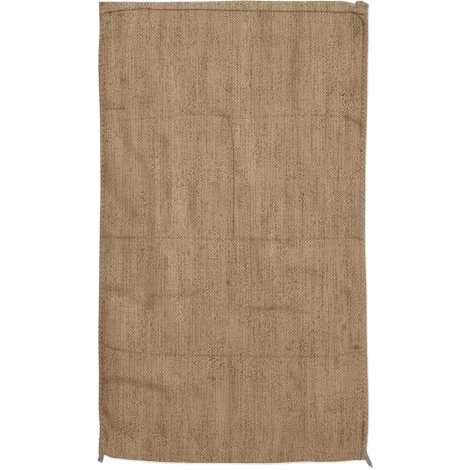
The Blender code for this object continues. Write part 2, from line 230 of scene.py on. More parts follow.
def read_all(parts: bpy.types.bpy_prop_collection, name: str, size: int = 1) -> Array:
    """One property of all of a mesh's parts: indices, or places with three numbers each."""
    values = np.empty(len(parts) * size, dtype=int if size == 1 else float)
    parts.foreach_get(name, values)
    return values


def mapped_grid(name: str, points: Array, marks: Array, map_name: str) -> Piece:
    """Add a grid and move its points to given places.

    Args:
        name: the new piece's name.
        points: the places, as rows by columns by 3.
        marks: the map coordinates of the points, as rows by columns by 2.
        map_name: the name of the map that holds them.

    Returns:
        The new piece.
    """
    rows, columns = points.shape[:2]
    deselect_all()
    bpy.ops.mesh.primitive_grid_add(x_subdivisions=columns - 1, y_subdivisions=rows - 1, size=2.0)
    piece = bpy.context.active_object
    piece.name = piece.data.name = name
    mesh = piece.data
    places = read_all(mesh.vertices, "co", 3).reshape(-1, 3)
    i = np.rint((places[:, 0] + 1.0) / 2.0 * (columns - 1)).astype(int)
    j = np.rint((places[:, 1] + 1.0) / 2.0 * (rows - 1)).astype(int)
    mesh.vertices.foreach_set("co", points[j, i].ravel())
    corners = read_all(mesh.loops, "vertex_index")
    layer = mesh.uv_layers[0]
    layer.name = map_name
    layer.data.foreach_set("uv", marks[j[corners], i[corners]].ravel())
    mesh.update()
    return piece


def shade_and_tint_piece(piece: Piece, casts: Array) -> None:
    """Give each point of a piece its painted shade and cast of colour.

    Args:
        piece: the piece.
        casts: the points' casts, with red, green and blue in the last axis.
    """
    shade_and_tint = piece.data.attributes.new(SHADE_AND_TINT, "FLOAT_COLOR", "POINT")
    solid = np.ones((*casts.shape[:-1], 1))
    shade_and_tint.data.foreach_set("color", np.concatenate([casts, solid], axis=-1).ravel())


def tubes_piece(name: str, tubes: Sequence["Tube"], form: "SackForm | None" = None) -> Piece:
    """Make one piece of many closed tubes with like numbers of sides.

    Args:
        name: the new piece's name.
        tubes: the tubes.
        form: the sack's form, if the tubes share the cloth's painted shade and cast of colour.

    Returns:
        The new piece, its faces pointing outwards.
    """
    sections = [tube.sections() for tube in tubes]
    points = np.concatenate([part[0] for part in sections])
    marks = np.concatenate([part[1] for part in sections])
    piece = mapped_grid(name, points, marks, TWINE_MAP)
    mesh = piece.data
    columns = points.shape[1]
    last_rows = np.cumsum([len(part[0]) for part in sections])[:-1] - 1
    corners = read_all(mesh.loops, "vertex_index")
    first_rows = (corners // columns).reshape(-1, 4).min(axis=1)
    bpy.context.tool_settings.mesh_select_mode = (False, False, True)
    bpy.ops.object.mode_set(mode="EDIT")
    bpy.ops.mesh.select_all(action="DESELECT")
    bpy.ops.object.mode_set(mode="OBJECT")
    mesh.polygons.foreach_set("select", np.isin(first_rows, last_rows))
    bpy.ops.object.mode_set(mode="EDIT")
    bpy.ops.mesh.delete(type="FACE")
    bpy.ops.mesh.select_all(action="SELECT")
    bpy.ops.mesh.remove_doubles(threshold=MERGE_DISTANCE)
    bpy.ops.mesh.normals_make_consistent(inside=False)
    bpy.ops.object.mode_set(mode="OBJECT")
    mesh.shade_smooth()
    places = read_all(mesh.vertices, "co", 3)
    x, y = places[0::3], places[1::3]
    if form is None:
        casts = np.ones((len(x), 3))
    else:
        # the cloth's painted shade and casts, and the shade painted in its creases, carried onto the twine
        casts = shade_and_cast_at(form, x, y) * (1.0 - CREASE_SHADE * form.creased(x, y)[1][:, None])
    shade_and_tint_piece(piece, casts)
    return piece


@dataclass(frozen=True)
class Tube:
    """A length of yarn or twine: plies twisted together along a path."""

    path: Array  # the middle of the length, one point to a row
    radius: float  # half its thickness
    sides: int = 12  # points round each section
    plies: int = 3  # how many plies show round it; 1 is a plain round yarn
    lay: float = 0.009  # the length of one full turn of the plies
    groove: float = 0.22  # how deep the grooves between plies are, as a share of the radius
    flat: float = 1.0  # its height as a share of its width, where it is pressed down
    blunt: bool = True  # whether its ends are cut square rather than drawn out thin
    phase: float = 0.0  # where the plies start, in turns

    END_STEP = 0.12         # from a blunt end to its first ring, as a share of the radius
    END_RADIUS = 0.85       # that ring's size, as a share of the others'
    END_SHARPNESS = 4.0     # how soon a thin end reaches its full thickness

    def _stations(self) -> tuple[Array, Array, Array]:
        """The path with a ring close to each end, its distances along, and the rings' radii."""
        step = self.END_STEP * self.radius
        start = self.path[0] + step * unit(self.path[1] - self.path[0])
        end = self.path[-1] + step * unit(self.path[-2] - self.path[-1])
        path = np.vstack([self.path[:1], start, self.path[1:-1], end, self.path[-1:]])
        along = np.concatenate([[0.0], np.cumsum(np.linalg.norm(np.diff(path, axis=0), axis=1))])
        radii = np.full(len(path), self.radius)
        radii[[0, -1]] = 0.0
        radii[[1, -2]] *= self.END_RADIUS
        if not self.blunt:
            from_end = np.minimum(along, along[-1] - along) / along[-1]
            radii = self.radius * np.sqrt(np.clip(self.END_SHARPNESS * from_end, 0.0, 1.0))
        return path, along, radii

    def sections(self) -> tuple[Array, Array]:
        """Work out the tube's rings.

        Returns:
            The rings' points, and their map coordinates: turns round the plies, and metres along.
        """
        path, along, radii = self._stations()
        across, up = frames_along(path)
        angle = np.linspace(0.0, 2.0 * np.pi, self.sides + 1)[None, :]
        turn = 2.0 * np.pi * (along / self.lay + self.phase)[:, None]
        lobes = 0.5 + 0.5 * np.cos(self.plies * (angle - turn))
        reach = radii[:, None] * (1.0 - self.groove * (1.0 - lobes) * (self.plies > 1))
        away = ((reach * np.cos(angle))[:, :, None] * across[:, None, :]
                + (reach * np.sin(angle))[:, :, None] * up[:, None, :])
        away[:, :, 2] *= self.flat
        away[:, -1] = away[:, 0]
        turns = (angle - turn) / (2.0 * np.pi)
        marks = np.stack([turns, np.broadcast_to(along[:, None], turns.shape)], axis=2)
        return path[:, None, :] + away, marks


def unit(vector: Array) -> Array:
    """A vector, or each of many, at length 1."""
    return vector / np.maximum(np.linalg.norm(vector, axis=-1, keepdims=True), 1e-12)


def frames_along(path: Array) -> tuple[Array, Array]:
    """Carry two directions along a path without twisting them.

    Args:
        path: the path's points.

    Returns:
        Two directions at each point, square to the path and to each other.
    """
    heading = unit(np.gradient(path, axis=0))
    start = np.array([0.0, 0.0, 1.0]) if abs(heading[0, 2]) < 0.9 else np.array([1.0, 0.0, 0.0])
    across = np.empty_like(path)
    carried = start
    for i, ahead in enumerate(heading):
        carried = carried - ahead * float(carried @ ahead)
        carried = carried / max(math.sqrt(float(carried @ carried)), 1e-12)
        across[i] = carried
    return across, np.cross(heading, across)


# ---- The sack's form, which all its pieces share ----

class Side(Enum):
    """The sack's two long sides."""

    LEFT = -1
    RIGHT = 1


class Layer(Enum):
    """The stretches of cloth, in order from the front hem's edge to the back hem's."""

    FRONT_HEM = 0
    FRONT_TURN = 1
    FRONT = 2
    BOTTOM = 3
    BACK = 4
    BACK_TURN = 5
    BACK_HEM = 6


class SideEdge(NamedTuple):
    """Where the sack's two sides run at one height."""

    y: float
    left: float
    right: float


class EndEdge(NamedTuple):
    """Where the mouth and the bottom fold run at one place across."""

    x: float
    mouth: float
    fold: float


class HemPoint(NamedTuple):
    """Where the front hem's lower edge runs at one place across."""

    x: float
    y: float


class Crease:
    """A soft trough in the front layer. Left and right are of someone who walks its route.

    Attributes:
        depth: how deep it is.
        left_reach: how far it goes to the left.
        right_reach: how far it goes to the right.
        painted_shade: the shade painted at its bottom, as a share.
        line: how far that painted shade goes to each side.
        route: the points of its middle line.
    """

    def __init__(self, depth: float, left_reach: float, right_reach: float, painted_shade: float,
                 line: float, *route: float) -> None:
        """Take the painted shade in hundredths, and the lengths and each point's x and y in millimetres."""
        self.depth, self.line = depth / 1000.0, line / 1000.0
        self.left_reach, self.right_reach = left_reach / 1000.0, right_reach / 1000.0
        self.painted_shade = painted_shade / 100.0
        self.route = points_of(route)


class Swell(NamedTuple):
    """A soft rise of the front, leaning anticlockwise from +Y by degrees."""

    x: float
    y: float
    half_width: float
    half_length: float
    rise: float
    lean: float = 0.0


SIDE_EDGES = rows_of(
    SideEdge,
    (-0.508, -0.3056, 0.2939), (-0.483, -0.3056, 0.2969), (-0.439, -0.3033, 0.3002),
    (-0.394, -0.3051, 0.3011), (-0.327, -0.3048, 0.2997), (-0.237, -0.3061, 0.2977),
    (-0.125, -0.3046, 0.2966), (-0.013, -0.3034, 0.2935), (0.099, -0.3016, 0.2941), (0.188, -0.302, 0.2953),
    (0.255, -0.3026, 0.2973), (0.345, -0.3054, 0.2989), (0.39, -0.3062, 0.2995), (0.457, -0.3036, 0.3008),
    (0.52, -0.3044, 0.2988),
)

END_EDGES = rows_of(
    EndEdge,
    (-0.305, 0.5209, -0.494), (-0.292, 0.521, -0.4945), (-0.283, 0.521, -0.4992), (-0.247, 0.5199, -0.5044),
    (-0.194, 0.5192, -0.5092), (-0.12, 0.52, -0.5126), (-0.064, 0.5204, -0.513), (-0.023, 0.521, -0.5132),
    (0.022, 0.5227, -0.5134), (0.075, 0.5219, -0.5138), (0.147, 0.5209, -0.5107), (0.218, 0.5216, -0.5103),
    (0.25, 0.5204, -0.5088), (0.262, 0.5182, -0.508), (0.27, 0.5174, -0.5076), (0.2745, 0.5222, -0.5073),
    (0.281, 0.5232, -0.5069), (0.287, 0.5226, -0.5066), (0.291, 0.5196, -0.5064), (0.3, 0.518, -0.5062),
)

HEM_LINE = rows_of(
    HemPoint,
    (-0.305, 0.4946), (-0.292, 0.496), (-0.279, 0.4978), (-0.252, 0.5006), (-0.225, 0.5029),
    (-0.198, 0.5045), (-0.171, 0.5026), (-0.144, 0.5024), (-0.117, 0.5024), (-0.09, 0.5027),
    (-0.064, 0.5022), (-0.037, 0.5012), (-0.01, 0.5006), (0.017, 0.5), (0.044, 0.4994), (0.071, 0.4996),
    (0.098, 0.4988), (0.124, 0.4984), (0.151, 0.4984), (0.178, 0.4983), (0.205, 0.4977), (0.232, 0.496),
    (0.259, 0.4973), (0.281, 0.4947), (0.3, 0.493),
)

# Routes of the folds, as each point's x and y in millimetres
UPPER_FOLD = (
    -296, 248, -249, 254, -197, 259, -144, 262.5, -99, 269, -39, 266.5, -10, 259, 30, 259, 64, 262, 124.5,
    266.5, 229.7, 264.5, 258.8, 262, 274, 253.5, 290, 244)
MIDDLE_FOLD = (
    -296, -6.5, -240, -7.5, -180, -8, -100, -8.5, -10, -11, 60, -11.5, 125, -12, 180, -10.5, 240, -9, 290,
    -8)
LOWER_FOLD = (
    -296, -250, -256, -259.5, -189, -268, -100, -271.5, -10, -272.5, 100, -273.5, 225, -273.5, 259, -266.5,
    290, -264)
CENTRE_TOP = (-15, 262, -9, 244, -5, 224, -2.7, 200)
CENTRE_FOLD = (-2.7, 200, -1.4, 175, -1.2, 90, -1.2, -4)
CENTRE_END = (-1.4, -4, -4, -50, -5, -98)

CREASES = rows_of(
    Crease,
    # The three folds across, each a broad trough with a sharper line in it
    (1, 12, 6, 42, 1.6, *UPPER_FOLD), (1.4, 10, 34, 0, 1.6, *lowered(MIDDLE_FOLD, 15)),
    (0.5, 2.2, 3, 48, 1.4, *MIDDLE_FOLD), (1.7, 14, 5.5, 50, 1.8, *LOWER_FOLD),
    # Their deeper ends by the seams
    (2, 7, 7, 85, 5.2, 250, 262.5, 274, 252, 286, 245),
    (1.2, 6, 5, 60, 3, 259, -256, 270, -254.5, 284, -256),
    (1.2, 8, 6, 80, 3.2, -294, -248, -272, -256, -248, -261.5), (0.8, 5, 8, 20, 2.4, -290, -7, -260, -7.5),
    # Down the middle
    (1.2, 6, 5, 75, 1.9, *CENTRE_TOP), (1.3, 4, 6, 160, 1.1, *CENTRE_FOLD),
    (0.7, 6, 6, 36, 1.5, *CENTRE_END), (0.5, 6, 6, 35, 3, -4, -125, -10, -150, -13, -124),
    (0.6, 9, 9, 22, 3, -10, -273, -8.5, -320, -7.5, -380, -10.5, -480),
    # Weaker folds down the cloth
    (0.5, 7, 12, 10, 6, -184, 226, -183, 120, -181.5, 20, -181, -50),
    (0.7, 8, 8, 14, 6, 41.6, -20, 56, -80, 64, -120), (0.8, 8, 11, 16, 6, 140, 423, 144.5, 350, 147, 271),
    (0.6, 9, 9, 12, 7, 79.7, 486, 81, 430, 78, 390), (0.5, 7, 7, 10, 5, 233, 190, 234.5, 80, 233, 0),
    (0.4, 6, 6, 8, 5, 200, 250, 203, 170, 201, 90),
    # Short folds and puckers
    (1.1, 8, 7, 22, 5, -285, -121, -264, -129, -249, -136.5),
    (0.7, 7, 7, 14, 5, -189, -136.5, -130, -138.5, -77, -136.5),
    (0.8, 7, 8, 16, 5, 6, -174.5, 70, -170, 124.5, -163),
    (1.3, 9, 8, 30, 6, -271.8, -322, -231, -330, -204.6, -333.4, -150.9, -349),
    (1.1, 9, 8, 26, 6, -285.2, -400.5, -257, -418, -227, -438.6),
    (1, 12, 16, 5, 9, -292, 229, -278, 190, -260, 156, -230, 100, -206, 60),
    (0.8, 7, 7, 14, 5, -288, 50, -266, 30, -248, 26),
    # The right corner of the mouth, caught in slantwise
    (1, 3, 3, 145, 2.2, 260, 498.8, 267, 497.3, 273.4, 493.8, 281.2, 487.1, 286.8, 478.1, 289.5, 468),
    (0.7, 2.6, 2.6, 75, 2, 278.5, 496.8, 286.2, 490.5),
    (1.2, 2.6, 2.6, 70, 1.9, 273.7, 521.2, 274.2, 514, 273.5, 507.5),
)

SWELLS = rows_of(
    Swell,
    (-0.236, 0.145, 0.028, 0.095, 0.0013, -14.0), (-0.12, 0.12, 0.045, 0.11, 0.0008),
    (0.035, 0.15, 0.024, 0.12, 0.0011, -8.0), (-0.248, -0.18, 0.034, 0.05, 0.0012, 25.0),
    (0.11, 0.1, 0.06, 0.1, 0.0007, 10.0), (-0.1, -0.13, 0.05, 0.08, 0.0008),
    (0.14, -0.12, 0.08, 0.08, 0.0006), (0.06, 0.38, 0.05, 0.08, 0.0008), (0.215, 0.39, 0.04, 0.08, 0.0007),
    (-0.15, -0.38, 0.07, 0.06, 0.0008, 60.0), (0.12, -0.4, 0.08, 0.07, 0.0006),
    (0.025, 0.33, 0.01, 0.08, 0.0005, 8.0), (0.09, 0.05, 0.016, 0.1, 0.0006, -6.0),
    (-0.26, -0.31, 0.015, 0.03, 0.0007, 20.0), (0.255, -0.33, 0.018, 0.07, 0.0006, 5.0),
)


@dataclass(frozen=True)
class SackForm:
    """The outline of the empty sack, and how high each of its layers lies."""

    cloth: float = 0.0014  # the cloth's thickness
    hem_depth: float = 0.0225  # depth of the back hem, and the most of the front one
    hem_gap: float = 0.00045  # between a hem and the layer it lies on
    hem_ramp: float = 0.016  # the stretch over which the layers climb onto the hem
    seam_gap: float = 0.0005  # between the two layers inside a seam
    room_middle: float = 0.0086  # the room between front and back in the middle of the sack
    room_mouth: float = 0.0058  # the room at the mouth
    room_fold: float = 0.0050  # the room at the bottom fold
    room_reach: float = 0.045  # from a seam to where the room is full
    fold_reach: float = 0.070  # the same, from the bottom fold
    mouth_reach: float = 0.090  # the same, from the mouth
    seam_wall: float = 0.0010  # the twine above and below the cloth
    seam_clearance: float = 0.0003  # between that twine and the cloth, in the solids
    seam_width: float = 0.0118  # the width of a seam
    corner_width: float = 0.0210  # the same at the right corner of the mouth
    corner_low: float = 0.470  # where the right seam begins to broaden
    corner_high: float = 0.497  # where it is broad
    press_reach: float = 0.014  # the stretch over which the cloth comes back down past a seam
    let_go: float = 0.0010  # how far past a seam the cloth stays pressed
    edge_inset: float = 0.0013  # from a seam's outer side to the edges of the cloth in it
    # the broad ripples of the front
    ripple: SoftNoise = field(default_factory=lambda: SoftNoise(11, 0.028, 0.060))
    fine_ripple: SoftNoise = field(default_factory=lambda: SoftNoise(12, 0.012, 0.022))  # its fine ripples
    # the unevenness of the mouth and of the bottom fold
    edge_ripple: SoftNoise = field(default_factory=lambda: SoftNoise(13, 0.018, 0.4))

    RIPPLE_HEIGHT = 0.00042
    FINE_HEIGHT = 0.00013
    EDGE_HEIGHT = 0.00045
    PUCKER_PITCH = 0.0112
    PUCKER_HEIGHT = 0.00038
    PUCKER_REACH = 0.013
    PUCKER_STRAY = 0.25         # how far a pucker strays along the seam, in pitches
    PUCKER_EVEN = 0.6           # the share of its height that all puckers have
    RIGHT_PUCKERS = 1.07        # how many come on the right for each one on the left
    LEAST_PRESSED = 0.45        # the share of a crease's depth that is left beside a seam
    HEM_STEP_REACH = 0.003      # the stretch over which the surface steps onto the front hem

    def side_edge(self, side: Side, y: Array) -> Array:
        """The outer side of a seam."""
        return read(SIDE_EDGES, "y", side.name.lower(), y)

    def mouth_edge(self, x: Array) -> Array:
        """The top of the hem."""
        uneven = self.EDGE_HEIGHT * self.edge_ripple.at(x, 0.5 + 0.0 * x)
        return read(END_EDGES, "x", "mouth", x) + uneven

    def fold_edge(self, x: Array) -> Array:
        """The outside of the bottom fold."""
        uneven = self.EDGE_HEIGHT * self.edge_ripple.at(x, -0.5 + 0.0 * x)
        return read(END_EDGES, "x", "fold", x) + uneven

    def hem_line(self, x: Array) -> Array:
        """The lower edge of the front hem."""
        return read(HEM_LINE, "x", "y", x)

    def width_of_seam(self, side: Side, y: Array) -> Array:
        """How wide a seam is: the right one broadens at the mouth."""
        if side is Side.LEFT:
            return self.seam_width + 0.0 * y
        broad = smooth((y - self.corner_low) / (self.corner_high - self.corner_low))
        return self.seam_width + (self.corner_width - self.seam_width) * broad

    def past_seam(self, x: Array, y: Array) -> Array:
        """How far a point of the cloth lies inside the nearer seam's inner side."""
        left = x - self.side_edge(Side.LEFT, y) - self.width_of_seam(Side.LEFT, y)
        right = self.side_edge(Side.RIGHT, y) - x - self.width_of_seam(Side.RIGHT, y)
        return np.minimum(left, right) - self.let_go

    def on_hem(self, y: Array) -> Array:
        """1 where the layers lie on the back hem, 0 below it, on a straight ramp between."""
        top = read(END_EDGES, "x", "mouth", np.array(0.0))
        low = float(top) - self.hem_depth - self.hem_ramp
        return np.clip((y - low) / (self.hem_ramp - 2.0 * self.cloth), 0.0, 1.0)

    def creased(self, x: Array, y: Array) -> tuple[Array, Array]:
        """Find the creases at points of the front.

        Args:
            x: the points' places across.
            y: the points' places along.

        Returns:
            How deep the deepest crease is there, and how much shade is painted in it, from 0 to 1.
        """
        depth, painted_shade = np.zeros(np.shape(x)), np.zeros(np.shape(x))
        for crease in CREASES:
            nearest, on_left = distance_from(crease.route, x, y)
            reach = np.where(on_left, crease.left_reach, crease.right_reach)
            depth = np.maximum(depth, crease.depth * fading(nearest, reach))
            # the shade painted along the bottom of each crease
            painted_shade = np.maximum(painted_shade, crease.painted_shade * fading(nearest, crease.line))
        return depth, painted_shade

    def swollen(self, x: Array, y: Array) -> Array:
        """How high the soft rises lift the front at each point."""
        total = np.zeros(np.shape(x))
        for swell in SWELLS:
            total += swell.rise * oval_share(swell, x, y)
        return total

    def puckered(self, x: Array, y: Array) -> Array:
        """How high the small puckers beside the seams stand at each point."""
        past = np.maximum(self.past_seam(x, y), 0.0)
        left = x < 0.0
        phase = 2.0 * np.pi * (y / self.PUCKER_PITCH + self.PUCKER_STRAY * self.fine_ripple.at(0.0 * x, y))
        swing = np.cos(np.where(left, phase, self.RIGHT_PUCKERS * phase + 1.0))
        strength = self.PUCKER_EVEN + (1.0 - self.PUCKER_EVEN) * self.ripple.at(x, y)
        return self.PUCKER_HEIGHT * strength * swing * np.exp(-past / self.PUCKER_REACH)

    def room(self, x: Array, y: Array) -> Array:
        """Work out the room between the front and the back layer.

        Args:
            x: the points' places across.
            y: the points' places along.

        Returns:
            The room at each point.
        """
        from_fold = smooth((y - self.fold_edge(x)) / self.fold_reach)
        from_mouth = smooth((self.mouth_edge(x) - y) / self.mouth_reach)
        along = self.room_fold + (self.room_middle - self.room_fold) * from_fold
        along -= (self.room_middle - self.room_mouth) * (1.0 - from_mouth)
        loose = smooth(self.past_seam(x, y) / self.room_reach)
        nearly_loose = smooth(self.past_seam(x, y) / self.press_reach)
        ripples = self.RIPPLE_HEIGHT * self.ripple.at(x, y) + self.FINE_HEIGHT * self.fine_ripple.at(x, y)
        lifted = along - self.seam_gap + self.swollen(x, y) + ripples
        depth = self.creased(x, y)[0]
        pressed = depth * np.maximum(loose, self.LEAST_PRESSED) * nearly_loose
        puckers = self.puckered(x, y) * nearly_loose
        return np.maximum(self.seam_gap + lifted * loose - pressed + puckers, self.seam_gap)

    def heights(self, x: Array, y: Array) -> dict[Layer, Array]:
        """The middle of each layer's thickness above the floor."""
        pressed = 1.0 - smooth(self.past_seam(x, y) / self.press_reach)
        lowest = self.cloth / 2 + (self.seam_wall + self.seam_clearance) * pressed
        back = lowest + (self.cloth + self.hem_gap) * self.on_hem(y)
        front = back + self.cloth + self.room(x, y)
        return {Layer.BACK_HEM: lowest, Layer.BACK: back, Layer.FRONT: front,
                Layer.FRONT_HEM: front + self.cloth + self.hem_gap}

    def top_at(self, x: Array, y: Array) -> Array:
        """The upper surface of the cloth, hem included."""
        heights = self.heights(x, y)
        on_front_hem = smooth((y - self.hem_line(x)) / self.HEM_STEP_REACH + 0.5)
        step = (heights[Layer.FRONT_HEM] - heights[Layer.FRONT]) * on_front_hem
        return heights[Layer.FRONT] + step + self.cloth / 2


# ---- Shader making ----

def operator_of(operation: str, turned: bool = False) -> Callable[["Signal", "Signal | float"], "Signal"]:
    """Make an operator of Signal that adds a Math node.

    Args:
        operation: the node's operation.
        turned: whether the other number comes first.

    Returns:
        The operator.
    """
    def operator(self: "Signal", other: "Signal | float") -> "Signal":
        """This number and another, put through the node."""
        return self.paint.maths(operation, *((other, self) if turned else (self, other)))
    return operator


class Signal:
    """A number that varies over a surface; Python's operators on it add Math nodes."""

    def __init__(self, paint: "Paint", socket: Socket) -> None:
        """Wrap an output socket."""
        self.paint = paint
        self.socket = socket

    def maths(self, operation: str, *others: "Signal | float") -> "Signal":
        """Put this number and others through a Math node.

        Args:
            operation: the node's operation.
            others: the numbers that follow this one.

        Returns:
            The node's result.
        """
        return self.paint.maths(operation, self, *others)

    __add__ = __radd__ = operator_of("ADD")
    __mul__ = __rmul__ = operator_of("MULTIPLY")
    __sub__, __rsub__ = operator_of("SUBTRACT"), operator_of("SUBTRACT", turned=True)
    __truediv__, __pow__, __gt__ = operator_of("DIVIDE"), operator_of("POWER"), operator_of("GREATER_THAN")

    def clipped(self) -> "Signal":
        """This, kept between 0 and 1."""
        return self.maths("MAXIMUM", 0.0).maths("MINIMUM", 1.0)


class Paint:
    """A material under construction, with one method for each way of adding a node."""

    NOISE_ROUGHNESS = 0.55  # how much of the noise's fine detail shows
    SHINE = 0.25            # the level of specular light

    def __init__(self, name: str) -> None:
        """Start a material with a plain shader."""
        self.material = bpy.data.materials.new(name)
        self.material.use_nodes = True
        self.tree = self.material.node_tree
        self.shader = self.tree.nodes["Principled BSDF"]

    def node(self, kind: str, settings: dict[str, Any] | None = None,
             sockets: dict[str, Any] | None = None) -> bpy.types.Node:
        """Add a node.

        Args:
            kind: the node's type.
            settings: the node's own settings, set first.
            sockets: the values or links of its input sockets, by name or number.

        Returns:
            The node.
        """
        made = self.tree.nodes.new(kind)
        for name, value in (settings or {}).items():
            setattr(made, name, value)
        for name, value in (sockets or {}).items():
            self.feed(made.inputs[name], value)
        return made

    def feed(self, socket: Socket, value: Any) -> None:
        """Link a signal or a socket to an input, or set its value."""
        if isinstance(value, Signal):
            value = value.socket
        if isinstance(value, Socket):
            self.tree.links.new(value, socket)
        else:
            socket.default_value = value

    def maths(self, operation: str, *values: Signal | float) -> Signal:
        """Put numbers through a Math node."""
        made = self.node("ShaderNodeMath", {"operation": operation}, dict(enumerate(values)))
        return Signal(self, made.outputs[0])

    def map_place(self, map_name: str) -> tuple[Signal, Signal]:
        """The two coordinates of a map."""
        place = self.node("ShaderNodeUVMap", {"uv_map": map_name})
        split = self.node("ShaderNodeSeparateXYZ", {}, {0: place.outputs[0]})
        return Signal(self, split.outputs[0]), Signal(self, split.outputs[1])

    def kept(self, name: str) -> bpy.types.Node:
        """Read one of the piece's own attributes."""
        return self.node("ShaderNodeAttribute", {"attribute_name": name})

    def noise(self, x: Signal | float, y: Signal | float, detail: float = 0.0) -> Signal:
        """Smooth noise between about 0 and 1, one bump to a unit of x and y."""
        place = self.node("ShaderNodeCombineXYZ", {}, {0: x, 1: y})
        made = self.node("ShaderNodeTexNoise", {"noise_dimensions": "2D"},
                         {"Vector": place.outputs[0], "Scale": 1.0, "Detail": detail,
                          "Roughness": self.NOISE_ROUGHNESS})
        return Signal(self, made.outputs["Fac"])

    def chance(self, x: Signal | float, y: Signal | float) -> Signal:
        """An even chance between 0 and 1 for each pair of whole numbers."""
        place = self.node("ShaderNodeCombineXYZ", {}, {0: x, 1: y})
        made = self.node("ShaderNodeTexWhiteNoise", {"noise_dimensions": "2D"},
                         {"Vector": place.outputs[0]})
        return Signal(self, made.outputs["Value"])

    def between(self, share: Signal, low: float, high: float) -> Signal:
        """A number that goes from low to high as a share goes from 0 to 1."""
        return share * (high - low) + low

    def mixed(self, share: Signal, first: Any, second: Any) -> Socket:
        """A colour between two others."""
        made = self.node("ShaderNodeMix", {"data_type": "RGBA"})
        self.feed(made.inputs["Factor"], share)
        self.feed(made.inputs[6], (*first, 1.0) if isinstance(first, tuple) else first)
        self.feed(made.inputs[7], (*second, 1.0) if isinstance(second, tuple) else second)
        return made.outputs[2]

    def scaled(self, colour: Any, by: Any) -> Socket:
        """A colour times a number or another colour."""
        made = self.node("ShaderNodeVectorMath", {"operation": "MULTIPLY"}, {0: colour})
        if isinstance(by, Signal):
            by = self.node("ShaderNodeCombineXYZ", {}, {0: by, 1: by, 2: by}).outputs[0]
        self.feed(made.inputs[1], by)
        return made.outputs[0]

    def browned(self, colour: Any, shade_and_tone: Signal, powers: Triple) -> Socket:
        """A colour times a shade that is raised to its own power for red, green and blue."""
        parts = {channel: shade_and_tone ** power for channel, power in enumerate(powers)}
        return self.scaled(colour, self.node("ShaderNodeCombineXYZ", {}, parts).outputs[0])

    def raised(self, height: Signal, metres: float, strength: float) -> Socket:
        """A bumped normal from a height between 0 and 1."""
        made = self.node("ShaderNodeBump", {}, {"Strength": strength, "Distance": metres, "Height": height})
        return made.outputs["Normal"]

    def finish(self, colour: Any, roughness: Any, normal: Any = None) -> bpy.types.Material:
        """Feed the shader and hand over the material."""
        self.feed(self.shader.inputs["Base Color"], (*colour, 1.0) if isinstance(colour, tuple) else colour)
        self.feed(self.shader.inputs["Roughness"], roughness)
        self.shader.inputs["Specular IOR Level"].default_value = self.SHINE
        if normal is not None:
            self.feed(self.shader.inputs["Normal"], normal)
        return self.material


# ---- Finishes ----

class Spot(NamedTuple):
    """A dark fleck in the cloth: a knot, a bit of bark or a gap between threads."""

    x: float
    y: float
    half_width: float
    half_length: float
    dark: float


SPOTS = rows_of(
    Spot,
    (0.274, -0.2535, 0.0062, 0.0056, 0.48), (0.2468, -0.209, 0.0056, 0.0074, 0.36),
    (0.122, -0.2575, 0.0056, 0.0042, 0.32), (0.232, -0.2864, 0.003, 0.0028, 0.4),
    (-0.014, -0.109, 0.0046, 0.0058, 0.4), (-0.0705, -0.0311, 0.0046, 0.0052, 0.32),
    (-0.0837, -0.349, 0.003, 0.003, 0.3), (-0.0255, 0.2667, 0.004, 0.0034, 0.32),
    (-0.2494, 0.344, 0.007, 0.007, 0.32), (-0.286, 0.475, 0.005, 0.005, 0.26),
    (-0.0828, 0.214, 0.0022, 0.003, 0.55), (-0.2351, 0.1464, 0.0024, 0.0024, 0.45),
    (-0.1243, 0.3898, 0.0022, 0.0026, 0.5), (-0.0177, 0.3215, 0.0022, 0.003, 0.55),
    (0.1843, 0.2649, 0.0024, 0.0028, 0.5), (-0.2808, 0.4966, 0.003, 0.0022, 0.55),
    (-0.2718, 0.5181, 0.0022, 0.0016, 0.5), (0.0842, -0.1655, 0.004, 0.0026, 0.34),
)
GAP_ROW_START = -0.2900
GAP_ROW_Y = 0.2808
GAP_ROW_PITCH = 0.0066
GAP_ROW_COUNT = 7
GAP_HALF_SIZE = (0.0019, 0.0020)
GAP_DARK = 0.60


